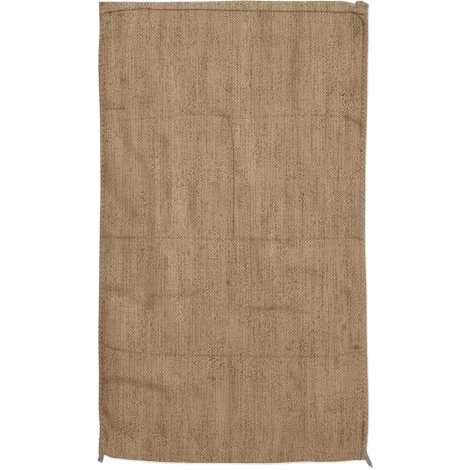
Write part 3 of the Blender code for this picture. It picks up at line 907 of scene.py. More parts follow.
@dataclass(frozen=True)
class SackingFinish:
    """Woven jute: paired warp threads under single wefts, uneven in colour and thickness."""

    warp_colour: Colour = (0.384, 0.262, 0.161)  # the threads that run up the sack
    weft_colour: Colour = (0.259, 0.164, 0.0905)  # the threads that run across it
    pitch: float = 0.0031  # from one thread to the next, both ways
    # how the threads stray: bumps to a metre across and along them, and metres
    strays: tuple[Triple, ...] = ((7.0, 2.6, 0.0026), (42.0, 14.0, 0.0023))
    weft_stray: float = 1.8  # how much more the wefts stray than the warps
    # changes of shade up the sack: bumps to a metre across and along, and swing
    streaks: tuple[Triple, ...] = (
        (27.0, 2.0, 0.06), (52.0, 5.0, 0.09), (105.0, 8.0, 0.04))
    # the same across it
    weft_streaks: tuple[Triple, ...] = ((1.2, 24.0, 0.05), (4.0, 75.0, 0.02))
    warp_swing: float = 0.20  # how much the shade differs from warp thread to warp thread
    weft_swing: float = 0.06  # the same from weft to weft
    cell_swing: float = 0.07  # how much it differs from crossing to crossing
    grain: float = 0.40  # how much a crossing stands out from the four round it
    # powers of the shade for red, green and blue, so that deep places are browner
    saturation: Triple = (0.83, 1.02, 1.34)
    roughness: float = 0.93  # how matt it is
    middle_shade: float = 0.96  # the shade that most of the cloth has
    dullness: float = 0.88  # how much the shades far from that one are drawn back to it
    # how much of its pitch the thinnest and the thickest thread fills
    yarn_widths: Pair = (0.36, 0.62)
    # how much a thread's rounding raises its middle, and crossing over another
    roundness: Pair = (0.55, 0.42)
    # the shade of the highest place less that of the middle, that of the middle, and the height below
    # which nothing gets darker
    lighting: Triple = (0.62, 0.61, -0.25)
    fibres: Pair = (0.88, 1.12)  # how dark and how light the fibres in a thread are
    spin: float = 0.035  # how much the twist of a thread shows
    pair_shade: float = 0.17  # how dark the gap between two paired warps is
    bare: Pair = (0.994, 0.45)  # how rare the missing crossings are, and how dark
    gap_shade: float = 0.25  # how dark a thin place in a warp is
    # the height of the weave in metres, and how strongly it shows
    relief: Pair = (0.0008, 0.75)

    def make(self) -> bpy.types.Material:
        """Build the material.

        Noise is read at so many bumps to a metre, or to a thread by its number; a number that is
        added only keeps it apart from other noise.

        Returns:
            The material.
        """
        paint = Paint("woven jute")
        u, v = paint.map_place(CLOTH_MAP)
        warp = (u + self._strayed(paint, u, v)) / self.pitch
        weft = (v + self._strayed(paint, v + 31.0, u) * self.weft_stray) / self.pitch
        i, j = warp.maths("FLOOR"), weft.maths("FLOOR")
        part_i, part_j = warp - i - 0.5, weft - j - 0.5
        warp_width = paint.between(paint.noise(i * 3.7, v * 42.0), *self.yarn_widths)
        weft_width = paint.between(paint.noise(u * 42.0, j * 3.7), *self.yarn_widths)
        warp_round = (1.0 - (part_i / warp_width) ** 2.0).maths("MAXIMUM", 0.0).maths("SQRT")
        weft_round = (1.0 - (part_j / weft_width) ** 2.0).maths("MAXIMUM", 0.0).maths("SQRT")
        warp_swing = (i * math.pi).maths("COSINE") * ((weft - 0.5) * math.pi).maths("COSINE")
        weft_swing = (j * math.pi).maths("COSINE") * ((warp - 0.5) * math.pi).maths("COSINE") * -1.0
        rounding, crossing = self.roundness
        warp_top = warp_round * rounding + warp_swing * crossing
        weft_top = weft_round * rounding + weft_swing * crossing
        height = warp_top.maths("MAXIMUM", weft_top)
        on_warp = warp_top > weft_top
        along_yarn = v * on_warp + u * (1.0 - on_warp)
        across_yarn = part_i * on_warp + part_j * (1.0 - on_warp)
        fibre = paint.noise(across_yarn * 9.0 + i * 5.0 + j * 3.0, along_yarn * 420.0, 2.0)
        spun = (along_yarn * 2200.0 + across_yarn * 5.0).maths("SINE")
        # painted shade of the weave: lighter on the threads' tops, darker between them, then the yarn's own
        # tone
        rise, level, lowest = self.lighting
        shade_and_tone = height.maths("MAXIMUM", lowest) * rise + level
        shade_and_tone = shade_and_tone * paint.between(fibre, *self.fibres) * (spun * self.spin + 1.0)
        shade_and_tone = shade_and_tone * paint.between(paint.chance(i, j), 1.0 - self.cell_swing, 1.0 + self.cell_swing)
        grain = paint.between(paint.noise(u * 15.0 + 4.0, v * 12.0, 1.0), -0.25, 2.15) * self.grain
        shade_and_tone = shade_and_tone * (self._standing_out(paint, i, j) * grain + 1.0)
        shade_and_tone = shade_and_tone * self._threaded(paint, i, v, self.warp_swing)
        shade_and_tone = shade_and_tone * self._threaded(paint, j + 500.0, u, self.weft_swing)
        pair = ((warp * math.pi).maths("COSINE") * 0.5 + 0.5) ** 3.0
        pair = pair * paint.between(paint.noise((warp * 0.5).maths("FLOOR") * 3.3, v * 22.0), 0.2, 1.8)
        shade_and_tone = shade_and_tone * (1.0 - pair * self.pair_shade)
        for across, along, swing in self.streaks + self.weft_streaks:
            streak = paint.noise(u * across + 11.0 * across, v * along)
            shade_and_tone = shade_and_tone * paint.between(streak, 1.0 - swing, 1.0 + swing)
        off = (shade_and_tone * (1.0 / self.middle_shade) - 1.0).maths("MINIMUM", 0.5)
        shade_and_tone = (off - off * off * self.dullness + 1.0) * self.middle_shade
        rarity, bareness = self.bare
        hole = paint.chance(i + 0.25, j + 0.25) > rarity
        gap = paint.between(paint.noise(i * 5.3 + 0.5, v * 60.0), -8.0, 2.6).maths("MAXIMUM", 0.0)
        shade_and_tone = shade_and_tone * (1.0 - hole * bareness) * (1.0 - gap.maths("MINIMUM", 1.0) * self.gap_shade)
        shade_and_tone = shade_and_tone * self._spotted(paint, u, v)
        # painted shade in the creases and painted shadow just below the front hem
        painted_shade = Signal(paint, paint.kept(PAINTED_SHADE).outputs["Fac"])
        shade_and_tone = shade_and_tone * (1.0 - painted_shade * CREASE_SHADE)
        cast = paint.noise(u * 8.0 + 3.0, v * 6.0, 2.0)
        clear = paint.between(paint.noise(u * 36.0, v * 30.0), -0.6, 3.0)
        over = ((on_warp - 0.5) * clear + 0.5).clipped()
        shade = paint.mixed(over, self.weft_colour, self.warp_colour)
        shade = paint.scaled(shade, paint.mixed(cast, (1.008, 0.996, 0.960), (0.994, 1.004, 1.035)))
        shade = paint.scaled(shade, paint.kept(SHADE_AND_TINT).outputs["Color"])
        relief = (height * 0.8 + fibre * 0.14 + spun * 0.03 - pair * 0.10) * (1.0 - hole * 0.5)
        return paint.finish(paint.browned(shade, shade_and_tone, self.saturation), self.roughness,
                            paint.raised(relief, *self.relief))

    def _strayed(self, paint: Paint, across: Signal, along: Signal) -> Signal:
        """How far the threads stray from straight, in metres."""
        stray = None
        for fast, slow, metres in self.strays:
            part = (paint.noise(across * fast, along * slow, 1.0) - 0.5) * (2.0 * metres)
            stray = part if stray is None else stray + part
        return stray

    def _threaded(self, paint: Paint, number: Signal, along: Signal, swing: float) -> Signal:
        """The shade of each thread by its number, changing slowly along it."""
        return paint.between(paint.noise(number * 7.31, along * 7.0), 1.0 - swing, 1.0 + swing)

    def _standing_out(self, paint: Paint, i: Signal, j: Signal) -> Signal:
        """How a crossing's chance shade differs from that of the four round it."""
        beside = (paint.chance(i + 1.0, j) + paint.chance(i - 1.0, j)
                  + paint.chance(i, j + 1.0) + paint.chance(i, j - 1.0))
        return paint.chance(i, j) - beside * 0.25

    def _spotted(self, paint: Paint, u: Signal, v: Signal) -> Signal:
        """The share of light that the dark flecks leave."""
        gaps = tuple(Spot(GAP_ROW_START + k * GAP_ROW_PITCH, GAP_ROW_Y, *GAP_HALF_SIZE, GAP_DARK)
                     for k in range(GAP_ROW_COUNT))
        left = None
        for spot in SPOTS + gaps:
            away = ((u - spot.x) / spot.half_width) ** 2.0 + ((v - spot.y) / spot.half_length) ** 2.0
            share = 1.0 - (away * -1.0).maths("EXPONENT") * spot.dark
            left = share if left is None else left * share
        return left


@dataclass(frozen=True)
class TwineFinish:
    """Spun jute twine, with shade painted between its plies."""

    name: str  # the material's name
    pale: Colour  # its light fibres
    deep: Colour  # its dark fibres
    warm: Colour  # the rust-brown lengths in it
    plies: int = 3  # how many plies it is spun of
    # powers of the shade for red, green and blue
    saturation: Triple = (0.90, 1.02, 1.20)
    roughness: float = 0.9  # how matt it is
    fibres: Pair = (0.78, 1.22)  # how dark and how light its fibres are
    lobes: Pair = (0.74, 1.06)  # the painted shade between its plies, and the painted light on them
    relief: Pair = (0.0004, 0.7)  # the height of both in metres, and how strongly it shows

    def make(self) -> bpy.types.Material:
        """Build the material."""
        paint = Paint(self.name)
        turn, along = paint.map_place(TWINE_MAP)
        lobe = (turn * (2.0 * math.pi * self.plies)).maths("COSINE") * 0.5 + 0.5
        fibre = paint.noise(turn * 26.0, along * 160.0, 3.0)
        patch = paint.noise(turn * 0.6, along * 55.0, 2.0)
        warmth = paint.noise(turn * 0.2 + 9.0, along * 24.0, 1.0)
        shade = paint.mixed(((patch - 0.3) * 2.2).clipped(), self.deep, self.pale)
        shade = paint.mixed(((warmth - 0.42) * 3.5).clipped(), shade, self.warm)
        # painted shade between the plies and painted light on them, times the fibres' own tone
        shade_and_tone = paint.between(fibre, *self.fibres) * paint.between(lobe, *self.lobes)
        shade = paint.scaled(shade, paint.kept(SHADE_AND_TINT).outputs["Color"])
        relief = fibre * 0.6 + lobe * 0.4
        return paint.finish(paint.browned(shade, shade_and_tone, self.saturation), self.roughness,
                            paint.raised(relief, *self.relief))


@dataclass(frozen=True)
class FloorFinish:
    """A plain pale floor."""

    colour: Colour = (0.95, 0.95, 0.95)
    roughness: float = 0.95

    def make(self) -> bpy.types.Material:
        """Build the material."""
        return Paint("pale floor").finish(self.colour, self.roughness)


# ---- The cloth ----

class PaintedShade(NamedTuple):
    """The shade painted on the cloth at one height, in the open and at each side: darker towards the
    bottom, and at the sides.
    """

    y: float
    middle: float
    left: float
    right: float


class StainAndShadePatch:
    """A soft oval cast of colour in the cloth: stains, and painted shade and highlights at the corners, the
    sides and the fold.

    Attributes:
        x: its middle's place across.
        y: its middle's place along.
        half_width: how far it goes across.
        half_length: how far it goes along.
        cast: the shares of red, green and blue that are left in its middle.
        lean: how far it leans anticlockwise from +Y, in degrees.
    """

    def __init__(self, x: float, y: float, half_width: float, half_length: float,
                 red: float, green: float, blue: float, lean: float = 0.0) -> None:
        """Take the lengths in millimetres and the shares in hundredths."""
        self.x, self.y = x / 1000.0, y / 1000.0
        self.half_width, self.half_length = half_width / 1000.0, half_length / 1000.0
        self.cast = (red / 100.0, green / 100.0, blue / 100.0)
        self.lean = lean


class FoldShadeAndTone:
    """A soft length of lighter or darker cloth: painted shade and painted light on the slopes of folds, and
    the yarn's own tone.

    Attributes:
        reach: how far the tone goes from its middle line, in metres.
        shade: how much lighter the cloth is there, as a share.
        route: the points of its middle line, in metres.
    """

    def __init__(self, reach: float, shade: float, *route: float) -> None:
        """Take the shade in hundredths, and in millimetres the reach and each point's x and y in turn."""
        self.reach = reach / 1000.0
        self.shade = TONE_STRENGTH * shade / 100.0
        self.route = points_of(route)


TONE_STRENGTH = 1.35    # the one factor of all the painted fold shades and tones
# painted shade of the cloth by height and by side
PAINTED_SHADES = rows_of(
    PaintedShade,
    (-0.51, 0.87, 0.7, 0.9), (-0.33, 0.92, 0.7, 0.92), (-0.08, 1.03, 0.75, 0.98), (0.19, 1.05, 0.8, 0.98),
    (0.45, 1.03, 0.75, 1.0), (0.525, 1.01, 0.8, 1.05),
)
SIDE_SHADE_REACH = 0.028    # how far from a side its shade is felt

# stains, and painted shade and highlights, each a soft oval
STAIN_AND_SHADE_PATCHES = rows_of(
    StainAndShadePatch,
    (-160, 450, 24, 34, 98.5, 96, 103), (-78, 335, 40, 50, 99, 98, 102.5, 10),
    (-250, -69, 14, 26, 98, 96.2, 101.2), (160, 400, 40, 60, 98.5, 97.5, 102.5),
    (-287, 149, 6, 45, 95, 98, 92), (285, 468, 16, 22, 84, 83, 82), (-280, -330, 30, 120, 90, 87, 84),
    (296.5, 450, 5, 35, 87, 86, 96), (-296.4, 516.8, 8.1, 3.4, 60, 54, 58),
    (-284.1, 513.4, 9, 4, 90, 86, 96), (-270.7, 518.1, 4, 2, 50, 56, 52),
    (-294.2, 510.5, 6.7, 2.9, 105, 86, 80), (-287.5, 501.8, 12.3, 6.3, 90, 92, 72),
    (-277.4, 496.6, 3.4, 2, 55, 50, 45), (-295.3, 491.2, 6.7, 4, 100, 84, 76),
    (-299.8, 486.1, 3.1, 7.2, 60, 58, 64), (-285, 472.4, 2.5, 2, 55, 52, 46),
    (-285.5, 463.7, 2, 5.8, 76, 74, 70), (-276.3, 492.1, 3.4, 3.4, 92, 84, 90),
    (-294.2, 441.3, 2.7, 4.9, 70, 70, 66), (-294.9, 431.7, 2.9, 1.8, 66, 60, 50),
    (282.3, 518.1, 5.8, 3.6, 74, 70, 80), (282.3, 510.5, 10.1, 4, 78, 69, 53),
    (293.1, 510.5, 4.9, 4.3, 50, 51, 38), (269.8, 513.2, 4.5, 3.4, 132, 128, 140),
    (289.1, 503.3, 7.8, 3.6, 72, 78, 66), (296.4, 499.5, 3.1, 4.9, 98, 103, 100),
    (248.8, 517.9, 7.2, 1.8, 62, 70, 72), (261.1, 507.8, 7.2, 2.7, 86, 78, 74),
    (259.9, 501.5, 8.1, 3.6, 86, 84, 80), (271.1, 493.9, 3.8, 2, 68, 64, 56),
    (284.1, 493.5, 3.6, 2, 58, 54, 46), (279.7, 485.4, 2.7, 2.7, 60, 57, 48),
    (277.9, 453.6, 6.7, 10.1, 82, 82, 74), (259.9, 465.9, 3.1, 1.6, 66, 64, 58),
    (271.1, 446.9, 2.2, 4.5, 78, 76, 70), (238.7, 458.1, 1.6, 15.7, 82, 81, 78),
    (-98.3, -499.1, 179.1, 6.7, 101, 98, 94), (188.3, -498.6, 49.3, 6.7, 103, 95, 85),
    (264.4, -499.1, 20.2, 5.6, 102, 96, 92), (184.9, -495.7, 5.6, 4.5, 98, 102, 84),
    (-278.5, -489, 4.5, 2.7, 100, 105, 78), (-270.7, -478.9, 6.7, 3.4, 103, 92, 84),
    (-241.6, -483.4, 7.2, 7.2, 97, 94, 102), (-237.1, -492.4, 9, 3.4, 98, 100, 84),
    (-259.5, -497.1, 11.2, 2.2, 94, 90, 102), (-292.6, -399.4, 2, 2.2, 44, 38, 30),
    (-290.8, -405.3, 2.7, 4, 100, 86, 78), (-287.9, -445.1, 3.4, 3.4, 68, 66, 60),
    (-272.5, -433.5, 1.8, 2.7, 58, 55, 48), (-194.1, -416.2, 1.8, 4, 72, 70, 64),
    (-187, -424.1, 1.6, 2.7, 74, 72, 68), (294.9, -464.4, 3.6, 20.2, 86, 97, 106),
    (290, -424.1, 1.8, 4.9, 64, 60, 52), (291.3, -451.6, 1.8, 3.6, 60, 56, 48),
    (290.4, -485.9, 2.2, 4, 66, 66, 66), (221.9, -399.9, 4, 2, 72, 69, 62),
    (-300.9, -509.1, 6.7, 4.9, 100, 108, 106), (307, -518.1, 4.9, 4, 96, 110, 100),
    (292.6, -409.5, 2.2, 1.8, 68, 62, 54), (-293.5, -318.8, 4.9, 6.7, 102, 87, 80),
    (-290.8, -393.8, 3.4, 9, 98, 82, 70), (-295.3, 314.8, 4.5, 13.4, 102, 93, 93),
    (-289.7, -182.3, 4.5, 17.9, 102, 92, 86), (-290, 209.6, 3.6, 35.8, 100, 95, 84),
    (0, -300, 260, 20, 103, 103, 103),
)
FOLD_SHADES_AND_TONES = rows_of(
    FoldShadeAndTone,
    # Along the seams
    (5, 12, -297, 500, -297, 60), (5, 14, -296, -30, -296, -300), (5, 18, -296, -300, -295, -480),
    (7, -10, 292, 490, 291, 330),
    # Below the mouth, left of the middle
    (9, -12, -254, 498, -257, 470, -262, 440), (7, -11, -157, 495, -160, 470, -166, 435),
    (6, -12, -168, 420, -165, 400, -162, 378), (11, -12, -198, 365, -192, 335, -192, 305, -200, 285),
    (8, -9, -251, 385, -250, 320, -252, 272), (8, -15, -292, 290, -270, 288, -250, 283),
    (6, -10, -115, 370, -106, 345), (6, -13, -122, 281, -97, 273),
    (8, -12, -42, 300, -44, 282, -28, 270, -14, 262), (6, -10, -93, 478, -86, 440),
    (5, -6, -52, 490, -51, 430), (6, -7, -121, 455, -122, 420), (8, 7, -226, 378, -222, 330),
    (8, 10, -150, 405, -140, 370, -138, 340, -130, 310), (10, 7, -8, 475, -4, 420, -10, 350),
    (6, 7, -197, 468, -193, 450), (9, 5, -60, 365, -66, 330), (6, -7, -284, 440, -286, 380),
    # The same, right of it
    (10, -12, 60, 492, 63, 445, 70, 420, 76, 392), (5, -9, 70, 432, 82, 428), (4, -15, 148, 490, 148, 440),
    (7, -17, 140, 428, 132, 390, 134, 360, 128, 335, 134, 308, 134, 282),
    (6, -12, 150, 405, 150, 380, 143, 352), (5, -11, 236, 465, 236, 430, 240, 402),
    (7, -22, 266, 490, 272, 468, 271, 448), (6, -12, 266, 330, 261, 300), (5, -5, 9, 470, 10, 365),
    (4, -6, 38, 430, 36, 362), (5, -7, 228, 337, 212, 325), (14, 9, 22, 470, 22, 390, 20, 345, 14, 300),
    (6, 10, 178, 398, 176, 370), (5, 6, 184, 330, 183, 300), (6, 5, 250, 400, 250, 372),
    (8, 4, 105, 455, 100, 425),
    # Between the upper and the middle fold, left
    (8, -13, -256, 258, -250, 232, -241, 203), (4, -12, -242, 199, -228, 199),
    (9, -13, -164, 215, -155, 195), (5, -10, -145, 210, -145, 202),
    (9, -15, -232, 188, -210, 174, -197, 150, -190, 115, -188, 60, -184, 10),
    (14, -14, -290, 150, -278, 105, -257, 82, -240, 62, -220, 40), (24, -10, -262, 140, -228, 60, -240, 8),
    (9, -14, -152, 205, -155, 110), (6, -11, -150, 112, -152, 82),
    (6, -12, -112, 132, -98, 102, -96, 70, -96, 45, -88, 15), (7, -13, 4, 160, 5, 136),
    (8, -13, 9, 102, 9, 66), (7, -12, -274, 62, -271, 15), (4, -9, -48, 112, -38, 102),
    (9, 6, -277, 240, -272, 200, -262, 165, -252, 155), (7, 7, -175, 165, -173, 128),
    (8, 7, -173, 62, -168, 25), (14, 10, -133, 205, -128, 150, -128, 100, -126, 50),
    (8, 5, -143, 250, -124, 245), (10, 6, -66, 165, -60, 115), (8, 5, -65, 95, -60, 70),
    (8, 6, -28, 190, -20, 125), (10, 6, -118, 42, -125, 15),
    # The same, right
    (5, -14, 281, 240, 284, 222), (3, -12, 32, 225, 30, 212), (3, -12, 177, 240, 176, 228),
    (5, -11, 180, 176, 180, 168), (14, -4, 160, 245, 150, 195, 150, 125), (4, -13, 232, 226, 230, 205),
    (12, -9, 168, 138, 176, 112, 172, 92, 182, 62), (4, -11, 210, 142, 210, 118),
    (7, -14, 270, 52, 270, 25, 275, 5), (6, -10, 116, 86, 126, 76), (4, -6, 113, 140, 114, 100),
    (5, -10, 222, 36, 228, 15), (8, 17, 9, 236, 5, 203), (15, 10, 28, 248, 34, 205, 33, 160, 42, 125),
    (9, 8, 86, 245, 80, 208), (7, 6, 125, 248, 122, 220), (7, 9, 184, 228, 190, 186),
    (4, 9, 205, 112, 206, 62), (9, 9, 106, 62, 100, 20, 84, -5), (7, 6, 254, 148, 258, 125),
    # Between the middle and the lower fold, left
    (6, -17, -294, -3, -262, -8, -230, -8), (6, -12, -280, -18, -284, -38),
    (6, -10, -246, -25, -243, -60, -243, -95),
    (11, -13, -184, -8, -180, -90, -184, -120, -182, -150, -195, -165), (5, -8, -155, -50, -156, -75),
    (5, -14, -152, -95, -150, -108), (9, -14, -290, -118, -262, -124, -240, -130, -220, -148),
    (5, -12, -195, -138, -165, -140, -150, -136, -105, -137, -82, -132), (8, -17, -192, -150, -188, -165),
    (7, -8, 0, -120, -8, -150, -4, -180), (4, -11, -48, -198, -15, -198), (5, -16, -156, -215, -156, -240),
    (5, -8, -272, -195, -272, -208), (6, -14, -292, -150, -290, -200, -296, -240),
    (14, 9, -142, -30, -136, -95, -130, -128), (22, 6, -100, -20, -105, -60, -95, -90),
    (14, 12, -120, -150, -122, -190), (14, 8, -255, -150, -238, -175, -242, -210),
    (6, 6, -175, -15, -168, -40), (12, 4, -45, -30, -40, -60), (26, -10, -262, -30, -210, -40, -215, -110),
    # The same, right
    (6, -7, 0, -8, 40, -12, 90, -14, 130, -18), (6, -11, 45, -18, 50, -60, 60, -108),
    (4, -11, 93, -45, 97, -60), (7, -12, 112, -80, 140, -78, 160, -80, 182, -90),
    (8, -14, 238, -125, 250, -130, 258, -145), (3, -10, 229, -140, 230, -150), (5, -18, 270, -5, 282, -12),
    (7, -12, 40, -168, 80, -165, 105, -165, 150, -175), (3, -11, 104, -155, 108, -155),
    (3, -11, 136, -154, 138, -154), (6, -10, 265, -80, 268, -98), (8, -7, 50, -200, 52, -225),
    (6, -7, 98, -205, 92, -215), (7, -8, 215, -225, 235, -235), (4, -11, 163, -132, 163, -137),
    (4, -11, 230, -165, 231, -176), (4, -18, 262, -236, 282, -236), (12, 12, 80, -25, 82, -50),
    (9, 10, 165, -20, 166, -60), (9, 7, 125, -35, 128, -60), (9, 6, 28, -100, 25, -150),
    (6, 12, 243, -82, 252, -102, 262, -118), (10, 5, 175, -140, 172, -165), (6, 5, 225, -60, 214, -48),
    (9, 5, 20, -65, 32, -80), (15, 4, 196, -150, 160, -190),
    # Below the lower fold, left
    (8, -14, -290, -330, -240, -328, -205, -336, -180, -338), (9, -14, -185, -345, -162, -350, -148, -366),
    (8, -10, -150, -380, -160, -400), (8, -16, -290, -395, -280, -415, -270, -432, -243, -440, -235, -445),
    (11, -18, -170, -425, -160, -440), (9, -20, -85, -345, -82, -362),
    (10, -8, -12, -280, -8, -320, -6, -345), (5, -8, -15, -395, -13, -420), (9, -10, -95, -440, -85, -455),
    (9, -8, -255, -470, -252, -485), (12, -8, -180, -475, -200, -480), (9, -8, -115, -478, -110, -490),
    (5, -15, -290, -440, -286, -460), (4, -13, -262, -284, -262, -288), (4, -10, -88, -303, -88, -307),
    (5, -8, -14, -470, -12, -500), (6, -14, -296, -262, -292, -330, -296, -380, -290, -400),
    (12, 10, -150, -285, -145, -320, -130, -330), (10, 6, -118, -320, -105, -310),
    (8, 6, -60, -290, -55, -300), (11, 11, -40, -360, -32, -400, -36, -430),
    (10, 5, -275, -340, -250, -350), (10, 6, -130, -390, -120, -400), (9, 6, -105, -280, -100, -300),
    (9, 6, -38, -440, -34, -480),
    # The same, right
    (4, -28, 229, -278, 231, -300), (10, -14, 125, -310, 140, -330, 145, -345),
    (7, -13, 100, -372, 100, -388), (12, -9, 140, -385, 150, -400, 150, -430, 148, -450),
    (6, -12, 210, -382, 212, -398), (7, -10, 232, -380, 245, -392), (5, -12, 63, -432, 70, -445),
    (5, -12, 12, -426, 12, -430), (4, -10, 116, -433, 116, -437), (5, -20, 288, -430, 287, -448),
    (6, -6, 5, -290, 5, -340), (4, -12, 42, -340, 42, -345), (5, -10, 160, -348, 160, -352),
    (5, -11, 238, -440, 240, -460, 236, -478), (8, -8, 84, -490, 95, -495), (5, -8, 118, -468, 118, -472),
    (15, 8, 178, -350, 195, -370, 196, -395), (9, 8, 175, -290, 178, -310), (6, 8, 218, -295, 213, -300),
    (8, 5, 225, -335, 235, -345), (9, 6, 35, -350, 30, -380), (7, 5, 35, -280, 33, -300),
    (8, 6, 110, -345, 106, -350), (9, 5, 95, -465, 105, -480),
)
SHADE_POWERS = (0.83, 1.02, 1.32)   # of red, green and blue, so that deep places are browner
CREASE_SHADE = 0.42                 # how much darker the painted shade makes the bottom of a crease


class GrooveShadow(NamedTuple):
    """How strongly the shadow painted in the groove inside each seam shows at one height."""

    y: float
    left: float
    right: float


GROOVE_SHADOWS = rows_of(
    GrooveShadow,
    (-0.51, 0.3, 1.5), (-0.43, 0.5, 1.6), (-0.39, 0.9, 1.0), (-0.34, 1.3, 0.3), (-0.26, 1.6, 0.4),
    (-0.18, 1.1, 0.6), (-0.06, 0.5, 0.9), (0.05, 0.5, 0.8), (0.16, 1.0, 0.8), (0.24, 1.7, 1.0),
    (0.31, 0.6, 1.5), (0.38, 0.3, 1.2), (0.425, 0.6, 1.9), (0.47, 0.2, 2.5), (0.488, 0.1, 0.4),
    (0.525, 0.1, 0.0),
)
# the painted shadow in the groove inside each seam: where it lies, how dark, how wide and how steady
GROOVE_INSETS = {Side.LEFT: 0.0096, Side.RIGHT: 0.0112}
GROOVE_SHADE = 0.30
GROOVE_REACH = 0.0019
GROOVE_EVEN, GROOVE_SWING = 0.75, 0.4     # how steadily a groove shows along the seam
MOUTH_CAST = (0.91, 1.10, 1.33)
MOUTH_REACH = 0.0034
FOLD_CAST = (0.94, 1.00, 1.13)
FOLD_REACH = 0.0045
# painted shade along the sides, where the cloth turns over into the seams
RIM_SHADES = {Side.LEFT: (0.64, 0.71, 0.83), Side.RIGHT: (0.86, 0.92, 1.00)}
RIM_REACHES = {Side.LEFT: 0.0038, Side.RIGHT: 0.0030}
HEM_CAST = (1.080, 1.100, 1.130)
HEM_SHADOW = 0.95                         # how dark the painted shadow just below the front hem is
HEM_SHADOW_PLACE, HEM_SHADOW_REACH = -0.0008, 0.0011


def shade_and_cast_at(form: SackForm, x: Array, y: Array) -> Array:
    """Find the painted shade and the cast of colour at points of the sack.

    Args:
        form: the sack's form.
        x: the points' places across.
        y: the points' places along.

    Returns:
        The shares of red, green and blue that are left there, in a last axis.
    """
    # painted shade: darker towards the bottom and at the sides
    middle, left, right = (read(PAINTED_SHADES, "y", name, y) for name in ("middle", "left", "right"))
    from_left, from_right = x - form.side_edge(Side.LEFT, y), form.side_edge(Side.RIGHT, y) - x
    by_left, by_right = fading(from_left, SIDE_SHADE_REACH), fading(from_right, SIDE_SHADE_REACH)
    shade = middle + (left - middle) * by_left + (right - middle) * by_right
    # painted shade and light along the folds, and the yarn's own tone
    for tone in FOLD_SHADES_AND_TONES:
        shade *= 1.0 + tone.shade * fading(distance_from(tone.route, x, y)[0], tone.reach)
    uneven = GROOVE_EVEN + GROOVE_SWING * form.fine_ripple.at(0.0 * x, 0.7 * y)
    sides = ((Side.LEFT, from_left), (Side.RIGHT, from_right))
    # the shadow painted in the groove inside each seam
    for side, away in sides:
        line = read(GROOVE_SHADOWS, "y", side.name.lower(), y) * uneven
        shade *= 1.0 - GROOVE_SHADE * line * fading(away - GROOVE_INSETS[side], GROOVE_REACH)
    cast = shade[..., None] ** np.array(SHADE_POWERS)
    # stains, and painted shade and highlights at the corners, the sides and the fold
    for patch in STAIN_AND_SHADE_PATCHES:
        cast = with_cast(cast, patch.cast, oval_share(patch, x, y))
    for end_cast, inside, reach in ((MOUTH_CAST, form.mouth_edge(x) - y, MOUTH_REACH),
                                    (FOLD_CAST, y - form.fold_edge(x), FOLD_REACH)):
        cast = with_cast(cast, end_cast, fading(inside, reach))
    # painted shade along each side's rim
    for side, away in sides:
        cast = with_cast(cast, RIM_SHADES[side], fading(np.maximum(away, 0.0), RIM_REACHES[side]))
    return cast


def spaced(start: float, end: float, step_at: Callable[[float], float]) -> Array:
    """Lay out places whose spacing changes along the way.

    Args:
        start: the first place.
        end: the last place.
        step_at: the step wanted at each place.

    Returns:
        The places, rising.
    """
    places = [start]
    while places[-1] < end:
        places.append(places[-1] + step_at(places[-1]))
    return start + (np.array(places) - start) * (end - start) / (places[-1] - start)


